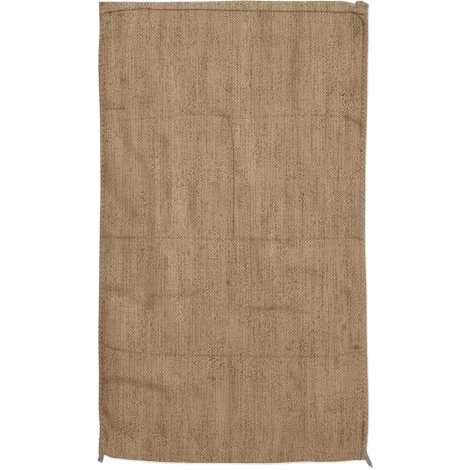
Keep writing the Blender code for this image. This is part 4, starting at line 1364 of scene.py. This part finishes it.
@dataclass(frozen=True)
class SackCloth:
    """The sack's one length of cloth, with its folds, hems and puckers."""

    form: SackForm  # the sack's form
    width: float = 0.600  # the cloth's flat width
    left_side: float = -0.3045  # where the cloth's map starts on the left
    seen_width: float = 0.6016  # how wide the front is in the map
    finest_column: float = 0.0013  # the step between columns at the side edges
    widest_column: float = 0.0074  # the same in the open cloth
    widening: float = 0.085  # how fast the columns widen away from the sides
    centre_place: float = 0.3020  # where the middle fold runs, from the left side
    centre_column: float = 0.0009  # the step between columns on it
    centre_band: float = 0.0032  # how far from it they stay so fine
    row_step: float = 0.0038  # the step between rows of the front
    fine_step: float = 0.0014  # the same beside the folds across
    fine_band: float = 0.0085  # how far from such a fold the fine rows go
    back_step: float = 0.028  # the step between rows of the back
    # from the fold to where its finer rows end, and to where the wide ones start
    back_bands: Pair = (0.05, 0.06)
    follow_reach: float = 0.060  # how far from a fold across the rows follow it
    hem_follow_reach: float = 0.020  # the same for the hem's lower edge
    turn_steps: int = 6  # steps round a hem's turn
    bottom_steps: int = 10  # steps round the bottom fold
    hem_rows: int = 8  # rows up a hem
    hem_puff: float = 0.0005  # how far the front hem stands off in its middle
    tight_gap: float = 0.0001  # between the front hem's stitched edge and the front

    def columns(self) -> Array:
        """Places across as shares of the width, closer at the sides and down the middle fold."""
        def step_at(place: float) -> float:
            """The step wanted at a place, with the finest at the sides and the middle fold."""
            side = min(place, self.width - place)
            middle = max(abs(place - self.centre_place) - self.centre_band, 0.0)
            return min(self.finest_column + self.widening * side,
                       self.centre_column + 2.0 * self.widening * middle, self.widest_column)
        return spaced(0.0, self.width, step_at) / self.width

    def _across_at(self, share: Array, height_of: Callable[[Array], Array]) -> tuple[Array, Array]:
        """Places across the cloth along a line whose height depends on where it is."""
        form = self.form
        x = (share - 0.5) * self.width
        for _ in range(3):
            y = height_of(x)
            left = form.side_edge(Side.LEFT, y) + form.edge_inset
            right = form.side_edge(Side.RIGHT, y) - form.edge_inset
            x = left + share * (right - left)
        return x, y

    def _mouth_row(self, share: Array, around: float, upper: Layer, lower: Layer) -> Array:
        """A row of a hem's turn, around from its upper to its lower layer."""
        form = self.form
        radius = (form.cloth + form.hem_gap) / 2
        x, centre = self._across_at(share, lambda x: form.mouth_edge(x) - form.cloth / 2 - radius)
        heights = form.heights(x, centre)
        middle = (heights[upper] + heights[lower]) / 2
        y = centre + radius * math.sin(math.pi * around)
        return np.column_stack([x, y, middle + radius * math.cos(math.pi * around)])

    def _bottom_row(self, share: Array, around: float) -> Array:
        """A row of the bottom fold, around from the front layer to the back one."""
        form = self.form

        def radius_at(x: Array) -> Array:
            """The fold's radius at the middle of the cloth's thickness."""
            radius = form.cloth
            for _ in range(4):
                radius = (form.cloth + form.room(x, form.fold_edge(x) + form.cloth / 2 + radius)) / 2
            return radius

        x, centre = self._across_at(share, lambda x: form.fold_edge(x) + form.cloth / 2 + radius_at(x))
        radius = radius_at(x)
        heights = form.heights(x, centre)
        middle = (heights[Layer.FRONT] + heights[Layer.BACK]) / 2
        y = centre - radius * math.sin(math.pi * around)
        return np.column_stack([x, y, middle + radius * math.cos(math.pi * around)])

    def _followed(self) -> list[tuple[float, float, Callable[[Array], Array]]]:
        """The lines across that the front's rows run along: their height, their reach, themselves."""
        lines = [(self.hem_follow_reach, self.form.hem_line)]
        for fold in (UPPER_FOLD, MIDDLE_FOLD, LOWER_FOLD):
            x, y = np.array(points_of(fold)).T
            lines.append((self.follow_reach, lambda at, x=x, y=y: through(at, x, y)))
        return [(float(line(np.array(0.0))), reach, line) for reach, line in lines]

    def _level_row(self, share: Array, layer: Layer, level: float, top: Array, bottom: Array) -> Array:
        """A row of the front, the back or the back hem, bent to follow what it runs beside."""
        reach = self.form.mouth_reach
        middle = len(share) // 2

        def bend(at: float) -> Array:
            """How far a row at a height is bent to follow the sack's ends."""
            to_mouth = smooth(1.0 - (top[middle] - at) / reach)
            to_fold = smooth(1.0 - (at - bottom[middle]) / reach)
            return (top - top[middle]) * to_mouth + (bottom - bottom[middle]) * to_fold

        def height_of(x: Array) -> Array:
            """The row's height at each place across."""
            y = level + bend(level)
            if layer is Layer.FRONT:
                for line_level, line_reach, line in self._followed():
                    near = smooth(1.0 - abs(level - line_level) / line_reach)
                    y = y + (line(x) - line_level - bend(line_level)) * near
            return y

        x, y = self._across_at(share, height_of)
        return np.column_stack([x, y, self.form.heights(x, y)[layer]])

    def _hem_row(self, share: Array, up: float, top: Array) -> Array:
        """A row of the front hem, a share of the way up from its lower edge."""
        form = self.form
        x, y = self._across_at(share, lambda x: form.hem_line(x) + up * (top - form.hem_line(x)))
        gap = self.tight_gap + (form.hem_gap - self.tight_gap) * up
        puff = self.hem_puff * math.sin(math.pi * up) * smooth(form.past_seam(x, y) / form.press_reach)
        return np.column_stack([x, y, form.heights(x, y)[Layer.FRONT] + form.cloth + gap + puff])

    def _front_levels(self, top: float, bottom: float) -> Array:
        """Heights of the front's rows, from the mouth down."""
        lines = [line_level for line_level, _, _ in self._followed()]

        def step_at(down: float) -> float:
            """The step wanted so far down from the mouth."""
            near = min(abs(top - down - level) for level in lines) < self.fine_band
            return self.fine_step if near else self.row_step
        return top - spaced(0.0, top - bottom, step_at)

    def rows(self) -> tuple[list[Array], list[Layer]]:
        """Work out every row of the cloth.

        Returns:
            The rows' points from the front hem's lower edge to the back hem's, and their layers.
        """
        form, share = self.form, self.columns()
        turn = np.linspace(0.0, 1.0, self.turn_steps + 1)
        around = np.linspace(0.0, 1.0, self.bottom_steps + 1)
        front_turn = [self._mouth_row(share, part, Layer.FRONT_HEM, Layer.FRONT) for part in turn]
        back_turn = [self._mouth_row(share, part, Layer.BACK, Layer.BACK_HEM) for part in turn]
        bottom_turn = [self._bottom_row(share, part) for part in around]
        top, bottom = front_turn[0][:, 1], bottom_turn[0][:, 1]
        middle = len(share) // 2
        front = self._front_levels(top[middle], bottom[middle])
        foot = top[middle] - form.hem_depth - form.hem_ramp
        fine_end, open_start = (bottom[middle] + band for band in self.back_bands)
        back = np.concatenate([
            np.arange(bottom[middle], fine_end, self.back_step / 3),
            np.linspace(open_start, foot, round((foot - open_start) / self.back_step)),
            foot + np.linspace(0.0, form.hem_ramp, 4)[1:], [top[middle] - form.hem_depth / 2]])
        hem = np.linspace(top[middle] - form.hem_depth, top[middle], self.hem_rows // 2)
        parts = [
            (Layer.FRONT_HEM,
             [self._hem_row(share, up, top) for up in np.linspace(0, 1, self.hem_rows)[:-1]]),
            (Layer.FRONT_TURN, front_turn),
            (Layer.FRONT, [self._level_row(share, Layer.FRONT, y, top, bottom) for y in front[1:-1]]),
            (Layer.BOTTOM, bottom_turn),
            (Layer.BACK, [self._level_row(share, Layer.BACK, y, top, bottom) for y in back[1:]]),
            (Layer.BACK_TURN, back_turn),
            (Layer.BACK_HEM,
             [self._level_row(share, Layer.BACK_HEM, y, top, bottom) for y in hem[::-1][1:]]),
        ]
        points = [row for _, rows in parts for row in rows]
        return points, [layer for layer, rows in parts for _ in rows]

    def _marks(self, points: Array, layers: list[Layer]) -> Array:
        """Map coordinates: metres across and along, equal to x and y on the front."""
        lengths = np.linalg.norm(np.diff(points[:, :, 1:], axis=0), axis=2)
        down = np.vstack([np.zeros(points.shape[1]), np.cumsum(lengths, axis=0)])
        first = layers.index(Layer.FRONT)
        last = first + layers.count(Layer.FRONT) - 1
        along = points[first, :, 1] + down[first] - down
        along[last:] += points[last, :, 1] - along[last]
        along[first:last + 1] = points[first:last + 1, :, 1]
        across = self.left_side + self.columns() * self.seen_width
        return np.stack([np.broadcast_to(across, along.shape), along], axis=2)

    def _shades_and_tints(self, points: Array, layers: list[Layer]) -> Array:
        """The painted shade and cast of colour at each point of the cloth."""
        shades_and_tints = shade_and_cast_at(self.form, points[:, :, 0], points[:, :, 1])
        hems = np.array([layer in (Layer.FRONT_HEM, Layer.FRONT_TURN) for layer in layers])
        return with_cast(shades_and_tints, HEM_CAST, hems[:, None])

    def _painted_shade(self, points: Array, layers: list[Layer]) -> Array:
        """The shade painted in the cloth's creases and the shadow painted just below the front hem, from 0
        to 1.
        """
        form = self.form
        x, y = points[:, :, 0], points[:, :, 1]
        front = np.array([layer is Layer.FRONT for layer in layers])[:, None]
        hem = np.array([layer is Layer.FRONT_HEM for layer in layers])[:, None]
        from_hem = y - form.hem_line(x)
        painted_shade = form.creased(x, y)[1] * (front | hem)
        # a shadow painted on the front just below the hem's edge
        shadow = front * HEM_SHADOW * fading(from_hem - HEM_SHADOW_PLACE, HEM_SHADOW_REACH)
        return np.maximum(painted_shade, shadow)

    def build(self, finish: SackingFinish) -> Piece:
        """Model the cloth and dress it.

        Args:
            finish: the cloth's finish.

        Returns:
            The cloth.
        """
        rows, layers = self.rows()
        points = np.array(rows)
        piece = mapped_grid("sack_sheet", points, self._marks(points, layers), CLOTH_MAP)
        painted_shade = piece.data.attributes.new(PAINTED_SHADE, "FLOAT", "POINT")
        painted_shade.data.foreach_set("value", self._painted_shade(points, layers).ravel())
        shade_and_tint_piece(piece, self._shades_and_tints(points, layers))
        wall = piece.modifiers.new("Thickness", "SOLIDIFY")
        wall.thickness = self.form.cloth
        wall.offset = 0.0
        wall.use_even_offset = True
        bpy.ops.object.modifier_apply(modifier=wall.name)
        piece.data.shade_smooth()
        piece.data.materials.append(finish.make())
        flat_length = float(np.linalg.norm(np.diff(points[:, :, 1:], axis=0), axis=2).sum(axis=0).mean())
        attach(piece, BODY)
        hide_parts("sack_cloth")
        log.info("%s: %d columns, %d rows, %.3f m of cloth",
                 piece.name, points.shape[1], len(rows), flat_length)
        return piece


# ---- The sewing ----

class TurnPoint(NamedTuple):
    """A point of one turn of the twine round a seam.

    across is 0 at the outer side and 1 at the needle holes, down a share of the stitch, and level
    0 under the seam and 1 on top of it.
    """

    across: float
    down: float
    level: float
    lift: float


class TailSection(NamedTuple):
    """A section of a seam's free tail; turn is in degrees."""

    x: float
    y: float
    width: float
    height: float
    turn: float


TWINE_TURN = rows_of(
    TurnPoint,
    (1.0, 0.0, 1.0, -0.0012), (0.9, 0.04, 1.0, 0.0006), (0.55, 0.21, 1.0, 0.001), (0.16, 0.42, 1.0, 0.0005),
    (0.0, 0.5, 0.5, 0.0), (0.16, 0.58, 0.0, 0.0), (0.55, 0.79, 0.0, 0.0), (0.9, 0.96, 0.0, 0.0),
    (1.0, 1.0, 0.3, 0.0),
)

LEFT_TAIL = rows_of(
    TailSection,
    (-0.2988, -0.49, 0.0112, 0.0056, 0.0), (-0.2989, -0.497, 0.0116, 0.0056, -2.0),
    (-0.2999, -0.5035, 0.0116, 0.004, -13.0), (-0.3032, -0.5104, 0.0146, 0.003, -32.0),
)

RIGHT_TAIL = rows_of(
    TailSection,
    (0.2914, -0.476, 0.0092, 0.0056, 0.0), (0.2918, -0.485, 0.0098, 0.0058, 5.0),
    (0.2938, -0.494, 0.0098, 0.0058, 16.0), (0.297, -0.502, 0.01, 0.0052, 23.0),
    (0.3026, -0.513, 0.0102, 0.0036, 25.0), (0.3062, -0.5195, 0.0086, 0.003, 24.0),
    (0.3079, -0.5226, 0.005, 0.0026, 24.0),
)


@dataclass(frozen=True)
class SideSeam:
    """An overhand seam: two twines that wind round the cloth's edges and run on as a tail."""

    form: SackForm  # the sack's form
    side: Side  # which side of the sack it closes
    pitch: float  # the length of a stitch
    tail: tuple[TailSection, ...]  # the sections of its free tail
    corner_pitch: float  # the length of a stitch at the corner of the mouth
    twine: float = 0.00100  # half the twine's thickness
    needle_inset: float = 0.0014  # from the seam's inner side to its needle holes
    unevenness: float = 0.07  # how much the stitches differ, as a share of the pitch
    # how far a twine strays across, down and up
    slack: Triple = (0.0004, 0.0006, 0.0002)
    flat: float = 0.82  # a twine's height as a share of its width
    twine_rise: float = 0.1  # how far above the cloth's top its middle lies, in half thicknesses
    steps: int = 4  # points from one turn point of a twine to the next
    first_hole: float = 0.0022  # from the mouth to the first needle hole
    # how far the purl swings across at each stitch, how much that differs, and how far it swings up
    purl_swing: Triple = (0.0006, 0.0001, 0.0011)
    purl_inset: float = 0.004  # from the seam's outer side to where the cloth's top sets the purl's height
    purl_level: float = 0.52  # how high the purl's middle lies, as a share of that top
    purl_lay: float = 0.008  # the length of a full turn of its plies
    tail_strands: int = 5  # how many strands the tail is plaited of
    tail_lay: float = 0.015  # the length of a full turn of the plait
    strand_lay: float = 0.012  # the same of a strand's own plies
    tail_twine: float = 0.0017  # half a strand's thickness
    tail_step: float = 0.0011  # the step between a strand's points
    tail_uneven: float = 0.16  # how much shorter a strand may be than the first
    # how far the strands' rise lags behind their swing, in radians, and how far one sways up
    tail_sway: Pair = (0.6, 0.0004)

    TOP_LEVEL = 0.8  # a twine strays up and down only above this level of its turn

    def _holes(self, rng: Draws) -> Array:
        """Heights of the needle holes, from the mouth down."""
        form = self.form
        edge = form.side_edge(self.side, np.array(0.5))
        y = [float(form.mouth_edge(edge)) - self.first_hole]
        end = self.tail[1].y
        while y[-1] > end:
            pitch = self.corner_pitch if y[-1] > form.corner_high else self.pitch
            y.append(y[-1] - pitch * (1.0 + self.unevenness * rng.uniform(-1.0, 1.0)))
        return np.array(y[:-1])

    def _thread(self, holes: Array, from_top: bool, rng: Draws) -> Array:
        """The path of one twine.

        Args:
            holes: heights of the needle holes.
            from_top: whether it leaves each hole on top of the cloth.
            rng: draws the stitches' unevenness.

        Returns:
            The path's points.
        """
        across, down, level, lift = (column(TWINE_TURN, name) for name in TurnPoint._fields)
        if not from_top:
            across, down, level, lift = across[::-1], 1.0 - down[::-1], level[::-1], lift[::-1]
        slack = rng.uniform(-1.0, 1.0, (3, len(holes) - 1, 1)) * np.array(self.slack)[:, None, None]
        start, end = holes[:-1, None], holes[1:, None]
        y = start + (end - start) * down + slack[1] * np.sin(np.pi * down)
        inner = self.form.width_of_seam(self.side, y) - self.needle_inset
        away = self.twine + across * (inner - self.twine) + slack[0] * across
        x = self.form.side_edge(self.side, y) - self.side.value * away
        lower = self.twine * self.flat
        upper = self.form.top_at(x, np.minimum(y, start)) + self.twine_rise * self.twine
        z = lower + (upper - lower) * level + lift + slack[2] * (level > self.TOP_LEVEL)
        path = curve_through(np.column_stack([x.ravel(), y.ravel(), z.ravel()]), self.steps)
        path[:, 2] = np.maximum(path[:, 2], lower)
        return path

    def _purl(self, holes: Array, rng: Draws) -> Array:
        """The twine that lies along the outer side and holds the loops."""
        y = np.arange(holes[0], holes[-1], -self.pitch / 6.0)
        phase = 2.0 * np.pi * np.interp(-y, -holes, np.arange(len(holes)))
        least, uneven, rise = self.purl_swing
        swing = least + uneven * rng.uniform(-1.0, 1.0, len(y))
        edge = self.form.side_edge(self.side, y)
        x = edge - self.side.value * (self.twine * 1.1 + swing * (1.0 + np.cos(phase)))
        top = self.form.top_at(edge - self.side.value * self.purl_inset, y)
        z = self.purl_level * top + rise * np.sin(phase)
        return curve_through(np.column_stack([x, y, z]), 2)

    def _tail_paths(self, rng: Draws) -> list[Array]:
        """The tail's plaited twines."""
        table = np.array([tuple(section) for section in self.tail])
        fine = curve_through(table, 12)
        along = np.concatenate([[0.0], np.cumsum(np.hypot(np.diff(fine[:, 0]), np.diff(fine[:, 1])))])
        paths = []
        for strand in range(self.tail_strands):
            reach = along[-1] * (1.0 - self.tail_uneven * rng.uniform() * (strand > 0))
            place = np.linspace(0.0, reach, round(reach / self.tail_step))
            x, y, width, height, turn = (np.interp(place, along, fine[:, k]) for k in range(5))
            phase = 2.0 * np.pi * (place / self.tail_lay + strand / self.tail_strands)
            across = np.maximum(width / 2.0 - self.tail_twine, 0.0) * np.sin(phase)
            low = self.tail_twine * self.flat
            lag, sway = self.tail_sway
            rise = np.maximum(height / 2.0 - low, 0.0) * np.sin(2.0 * phase + lag)
            angle = np.radians(turn)
            z = np.maximum(height / 2.0 + rise + sway * np.cos(phase), low)
            paths.append(np.column_stack([x + across * np.cos(angle), y + across * np.sin(angle), z]))
        return paths

    def build(self, finish: TwineFinish, tail_finish: TwineFinish) -> list[Piece]:
        """Model the seam and dress it.

        Args:
            finish: the twine's finish.
            tail_finish: that of its free end.

        Returns:
            The seam's pieces.
        """
        word = self.side.name.lower()
        rng = np.random.default_rng(40 + self.side.value)
        holes = self._holes(rng)
        wraps = [Tube(self._thread(holes, True, rng), self.twine, flat=self.flat, phase=0.0),
                 Tube(self._thread(holes, False, rng), self.twine, flat=self.flat, phase=0.4)]
        purl = [Tube(self._purl(holes, rng), 0.9 * self.twine, lay=self.purl_lay)]
        tail = [Tube(path, self.tail_twine, flat=self.flat, lay=self.strand_lay, phase=0.3 * k)
                for k, path in enumerate(self._tail_paths(rng))]
        material, tail_material = finish.make(), tail_finish.make()
        pieces = []
        for part, tubes in (("wraps", wraps), ("purl", purl), ("tail", tail)):
            piece = tubes_piece(f"{word}_seam_{part}", tubes, self.form)
            piece.data.materials.append(tail_material if part == "tail" else material)
            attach(piece, BODY)
            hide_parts(f"seam_{word}")
            log.info("%s: %d triangles", piece.name, 2 * len(piece.data.polygons))
            pieces.append(piece)
        return pieces


@dataclass(frozen=True)
class HemStitching:
    """The row of machine stitches that holds the front hem down."""

    form: SackForm  # the sack's form
    start: float = -0.2890  # where the row starts, from the left
    end: float = 0.2700  # where it ends
    pitch: float = 0.0098  # from one stitch to the next
    share_seen: float = 0.84  # how much of a stitch lies on top
    inset: float = 0.0011  # from the hem's lower edge to the row
    twine: float = 0.00052  # half the twine's thickness
    unevenness: float = 0.06  # how much the stitches' lengths differ, as a share
    slant: float = 0.0003  # how far a stitch may slant
    dip: float = 0.0008  # how far its ends lie below the cloth's top
    arch: float = 0.0011  # how far it arches up
    lay: float = 0.005  # the length of a full turn of its plies

    def _stitch(self, x: float, rng: Draws) -> Tube:
        """One stitch, which comes up at x and goes down again to its right."""
        length = self.pitch * self.share_seen * (1.0 + self.unevenness * rng.uniform(-1.0, 1.0))
        share = np.linspace(0.0, 1.0, 9)
        across = x + share * length
        slant = self.slant * rng.uniform(-1.0, 1.0)
        y = self.form.hem_line(across) + self.inset + slant * (share - 0.5)
        arch = np.sin(np.pi * share) ** 0.5
        z = self.form.top_at(across, y) - self.dip + self.arch * arch
        return Tube(np.column_stack([across, y, z]), self.twine, sides=9, lay=self.lay, phase=float(x))

    def build(self, finish: TwineFinish) -> Piece:
        """Model the stitches and dress them.

        Args:
            finish: the twine's finish.

        Returns:
            The stitches, as one piece.
        """
        rng = np.random.default_rng(7)
        places = np.arange(self.start, self.end, self.pitch)
        piece = tubes_piece("hem_stitches", [self._stitch(x, rng) for x in places])
        piece.data.materials.append(finish.make())
        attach(piece, BODY)
        log.info("%s: %d stitches", piece.name, len(places))
        return piece


class Fray(NamedTuple):
    """A cut end that fibres stick out of; heading is in degrees anticlockwise from +X."""

    x: float
    y: float
    z: float
    heading: float
    spread: float
    length: float
    count: int


FRAYS = rows_of(
    Fray,
    (0.2965, 0.5132, 0.0014, -8.0, 0.004, 0.0072, 44), (-0.303, -0.508, 0.002, -115.0, 0.005, 0.005, 16),
    (0.3076, -0.5215, 0.0018, -62.0, 0.0018, 0.006, 12), (-0.2915, 0.519, 0.0075, 80.0, 0.005, 0.003, 5),
)


@dataclass(frozen=True)
class LooseFibres:
    """Short jute fibres that have worked out of the cloth, the seams and the cut ends."""

    form: SackForm  # the sack's form
    on_cloth: int = 900  # how many lie on the front
    at_edges: int = 260  # how many stick out along the sides, the mouth and the fold
    thickness: float = 0.00009  # half a fibre's thickness
    shortest: float = 0.004  # the length of the shortest on the cloth
    longest: float = 0.015  # the length of the longest
    # the corners of the cloth that they lie on
    corners: Route = ((-0.285, -0.495), (0.275, 0.515))
    lifts: Pair = (0.0002, 0.0011)  # how far the least and the most bent of them rise
    edge_lengths: Pair = (0.0025, 0.0055)  # the shortest and the longest at the edges
    # how high the lowest and the highest of those start
    edge_heights: Pair = (0.0015, 0.0050)
    edge_lifts: Pair = (-0.0006, 0.0012)  # how far they droop or rise
    along_sides: Pair = (-0.48, 0.50)  # the stretch of the sides that they start from
    along_ends: Pair = (-0.28, 0.26)  # the stretch of the mouth and of the fold
    side_inset: float = 0.001  # how far inside a side they start
    end_inset: float = 0.0005  # how far inside the mouth or the fold
    stray: float = 0.9  # how far their headings stray, in radians
    frayed_stray: float = 0.22  # the same at the cut ends
    frayed_lift: float = 0.0006  # how far the fibres there rise
    bend: float = 0.28  # how much a fibre turns from one of its points to the next, in radians
    clearance: float = 0.00005  # between the cloth and the middle of a fibre's ends
    frayed_heights: Pair = (0.4, 1.2)  # the lowest and the highest at a cut end, as shares of its height
    frayed_lengths: Pair = (0.6, 1.1)  # the shortest and the longest there, as shares of its length
    uneven: Pair = (0.7, 1.5)  # the thinnest and the thickest fibre, as shares of the thickness

    def _bent(self, start: Array, heading: float, length: float, lift: float, rng: Draws) -> Array:
        """A gently bent fibre that sets off along a heading and rises on the way."""
        share = np.linspace(0.0, 1.0, 6)
        turns = heading + np.cumsum(np.concatenate([[0.0], rng.normal(0.0, self.bend, 5)]))
        steps = length / 5.0 * np.column_stack([np.cos(turns), np.sin(turns)])
        flat = np.vstack([[0.0, 0.0], np.cumsum(steps, axis=0)[:-1]])
        return np.column_stack([start[0] + flat[:, 0], start[1] + flat[:, 1],
                                start[2] + lift * np.sin(share * math.pi * 0.8)])

    def _on_cloth(self, rng: Draws) -> list[Array]:
        """Fibres lying on the front."""
        paths = []
        for x, y in rng.uniform(*self.corners, (self.on_cloth, 2)):
            paths.append(self._bent(np.array([x, y, self.clearance]), rng.uniform(0.0, 2.0 * math.pi),
                                    rng.uniform(self.shortest, self.longest),
                                    rng.uniform(*self.lifts), rng))
        points = np.array(paths)
        points[:, :, 2] += self.form.top_at(points[:, :, 0], points[:, :, 1])
        return list(points)

    def _at_edges(self, rng: Draws) -> list[Array]:
        """Fibres that stick out along the outline."""
        paths = []
        for k in range(self.at_edges):
            length = rng.uniform(*self.edge_lengths)
            if k % 4 < 3:   # three in four at the sides
                side = Side.LEFT if k % 2 else Side.RIGHT
                y = np.array(rng.uniform(*self.along_sides))
                x = self.form.side_edge(side, y) - side.value * self.side_inset
                heading = (0.0 if side is Side.RIGHT else math.pi) + rng.normal(0.0, self.stray)
            else:
                x = np.array(rng.uniform(*self.along_ends))
                mouth = k % 8 < 4
                inset = self.end_inset
                y = self.form.mouth_edge(x) - inset if mouth else self.form.fold_edge(x) + inset
                heading = (0.5 if mouth else -0.5) * math.pi + rng.normal(0.0, self.stray)
            start = np.array([float(x), float(y), rng.uniform(*self.edge_heights)])
            paths.append(self._bent(start, heading, length, rng.uniform(*self.edge_lifts), rng))
        return paths

    def _frayed(self, rng: Draws) -> list[Array]:
        """Fibres at the cut ends."""
        paths = []
        for fray in FRAYS:
            for _ in range(fray.count):
                across = rng.uniform(-fray.spread, fray.spread)
                heading = math.radians(fray.heading)
                start = np.array([fray.x - across * math.sin(heading), fray.y + across * math.cos(heading),
                                  fray.z * rng.uniform(*self.frayed_heights)])
                paths.append(self._bent(start, heading + rng.normal(0.0, self.frayed_stray),
                                        fray.length * rng.uniform(*self.frayed_lengths),
                                        self.frayed_lift, rng))
        return paths

    def build(self, finish: TwineFinish, frayed_finish: TwineFinish) -> list[Piece]:
        """Model the fibres and dress them.

        Args:
            finish: the finish of the fibres on the cloth.
            frayed_finish: that of those at the edges.

        Returns:
            The fibres of the cloth, and those of the edges and cut ends.
        """
        rng = np.random.default_rng(23)
        pieces = []
        for name, paths, slot, material in (
                ("cloth_fibres", self._on_cloth(rng), CLOTH_SLOT, finish.make()),
                ("edge_fibres", self._at_edges(rng) + self._frayed(rng), TWINE_SLOT, frayed_finish.make())):
            tubes = [Tube(path, self.thickness * rng.uniform(*self.uneven), sides=3, plies=1, blunt=False)
                     for path in paths]
            piece = tubes_piece(name, tubes)
            piece.data.materials.append(material)
            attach(piece, BODY)
            log.info("%s: %d fibres", piece.name, len(paths))
            pieces.append(piece)
        return pieces


# ---- The studio ----

@dataclass(frozen=True)
class Studio:
    """The pale floor, the soft lights and the camera above."""

    view_width: float = 1.0523  # how wide the camera sees at the height of the cloth
    view_centre: Pair = (0.0013, -0.0020)  # what it looks straight down on
    cloth_height: float = 0.009  # how high the cloth lies above the floor
    lens: float = 85.0  # its focal length in millimetres
    sensor: float = 36.0  # the width of the camera's sensor in millimetres
    floor_size: float = 8.0  # the side of the floor
    floor_drop: float = 0.0002  # how far below the sack it lies
    key_place: Triple = (-2.10, 2.60, 3.30)  # where the main light hangs
    key_size: float = 2.2  # its side
    key_watts: float = 92.0  # its strength
    fill_place: Triple = (0.3, -0.6, 3.0)  # where the second light hangs
    fill_size: float = 3.5  # its side
    fill_watts: float = 34.0  # its strength
    sky: float = 0.71  # the strength of the light from all round
    filter_width: float = 1.2  # how many pixels wide a pixel's filter is

    def _light(self, name: str, place: Triple, size: float, watts: float) -> None:
        """Hang a square soft light that points at the middle of the sack."""
        deselect_all()
        bpy.ops.object.light_add(type="AREA", location=place)
        light = bpy.context.active_object
        light.name = name
        light.data.size = size
        light.data.energy = watts
        aim = -np.array(place)
        light.rotation_euler = (math.atan2(math.hypot(aim[0], aim[1]), -aim[2]), 0.0,
                                math.atan2(aim[1], aim[0]) - math.pi / 2.0)

    def build(self) -> None:
        """Lay the floor, hang the lights and set up the camera."""
        deselect_all()
        bpy.ops.mesh.primitive_plane_add(size=self.floor_size, location=(0.0, 0.0, -self.floor_drop))
        floor = bpy.context.active_object
        floor.name = "floor"
        floor.data.materials.append(FloorFinish().make())
        self._light("key", self.key_place, self.key_size, self.key_watts)
        self._light("fill", self.fill_place, self.fill_size, self.fill_watts)
        world = bpy.data.worlds.new("soft surround")
        world.use_nodes = True
        sky = world.node_tree.nodes["Background"].inputs
        sky["Strength"].default_value = self.sky
        sky["Color"].default_value = (1.0, 1.0, 1.0, 1.0)
        scene = bpy.context.scene
        scene.world = world
        height = self.view_width / 2.0 * self.lens / (self.sensor / 2.0)
        bpy.ops.object.camera_add(location=(*self.view_centre, self.cloth_height + height),
                                  rotation=(0.0, 0.0, 0.0))
        camera = bpy.context.active_object
        camera.data.lens = self.lens
        camera.data.sensor_width = self.sensor
        scene.camera = camera
        scene.view_settings.view_transform = "Standard"
        scene.cycles.use_denoising = False
        scene.cycles.filter_width = self.filter_width


LEFT_TWINE = TwineFinish("twine of the left seam", (0.620, 0.432, 0.280), (0.470, 0.313, 0.190),
                         (0.560, 0.365, 0.218))
RIGHT_TWINE = TwineFinish("twine of the right seam", (0.600, 0.435, 0.300), (0.455, 0.315, 0.205),
                          (0.550, 0.370, 0.228))
TAIL_TWINE = TwineFinish("twine of the free ends", (0.440, 0.335, 0.225), (0.290, 0.215, 0.142),
                         (0.390, 0.255, 0.160))
HEM_TWINE = TwineFinish("twine of the hem", (0.340, 0.232, 0.140), (0.250, 0.166, 0.098),
                        (0.290, 0.190, 0.110))
FRAYED_FIBRE = TwineFinish("frayed jute fibre", (0.300, 0.235, 0.155), (0.180, 0.142, 0.092),
                           (0.250, 0.180, 0.110))
FIBRE = TwineFinish("loose jute fibre", (0.441, 0.335, 0.225), (0.256, 0.176, 0.107),
                    (0.344, 0.231, 0.130))


def main() -> None:
    """Build the sack piece by piece, then the studio round it."""
    logging.basicConfig(level=logging.INFO, format="%(message)s")
    form = SackForm()
    Studio().build()
    SackCloth(form).build(SackingFinish())
    SideSeam(form, Side.LEFT, 0.0113, LEFT_TAIL, 0.0113).build(LEFT_TWINE, TAIL_TWINE)
    SideSeam(form, Side.RIGHT, 0.0104, RIGHT_TAIL, 0.0048).build(RIGHT_TWINE, TAIL_TWINE)
    HemStitching(form).build(HEM_TWINE)
    LooseFibres(form).build(FIBRE, FRAYED_FIBRE)
    bpy.context.view_layer.update()


if __name__ == "__main__":
    main()
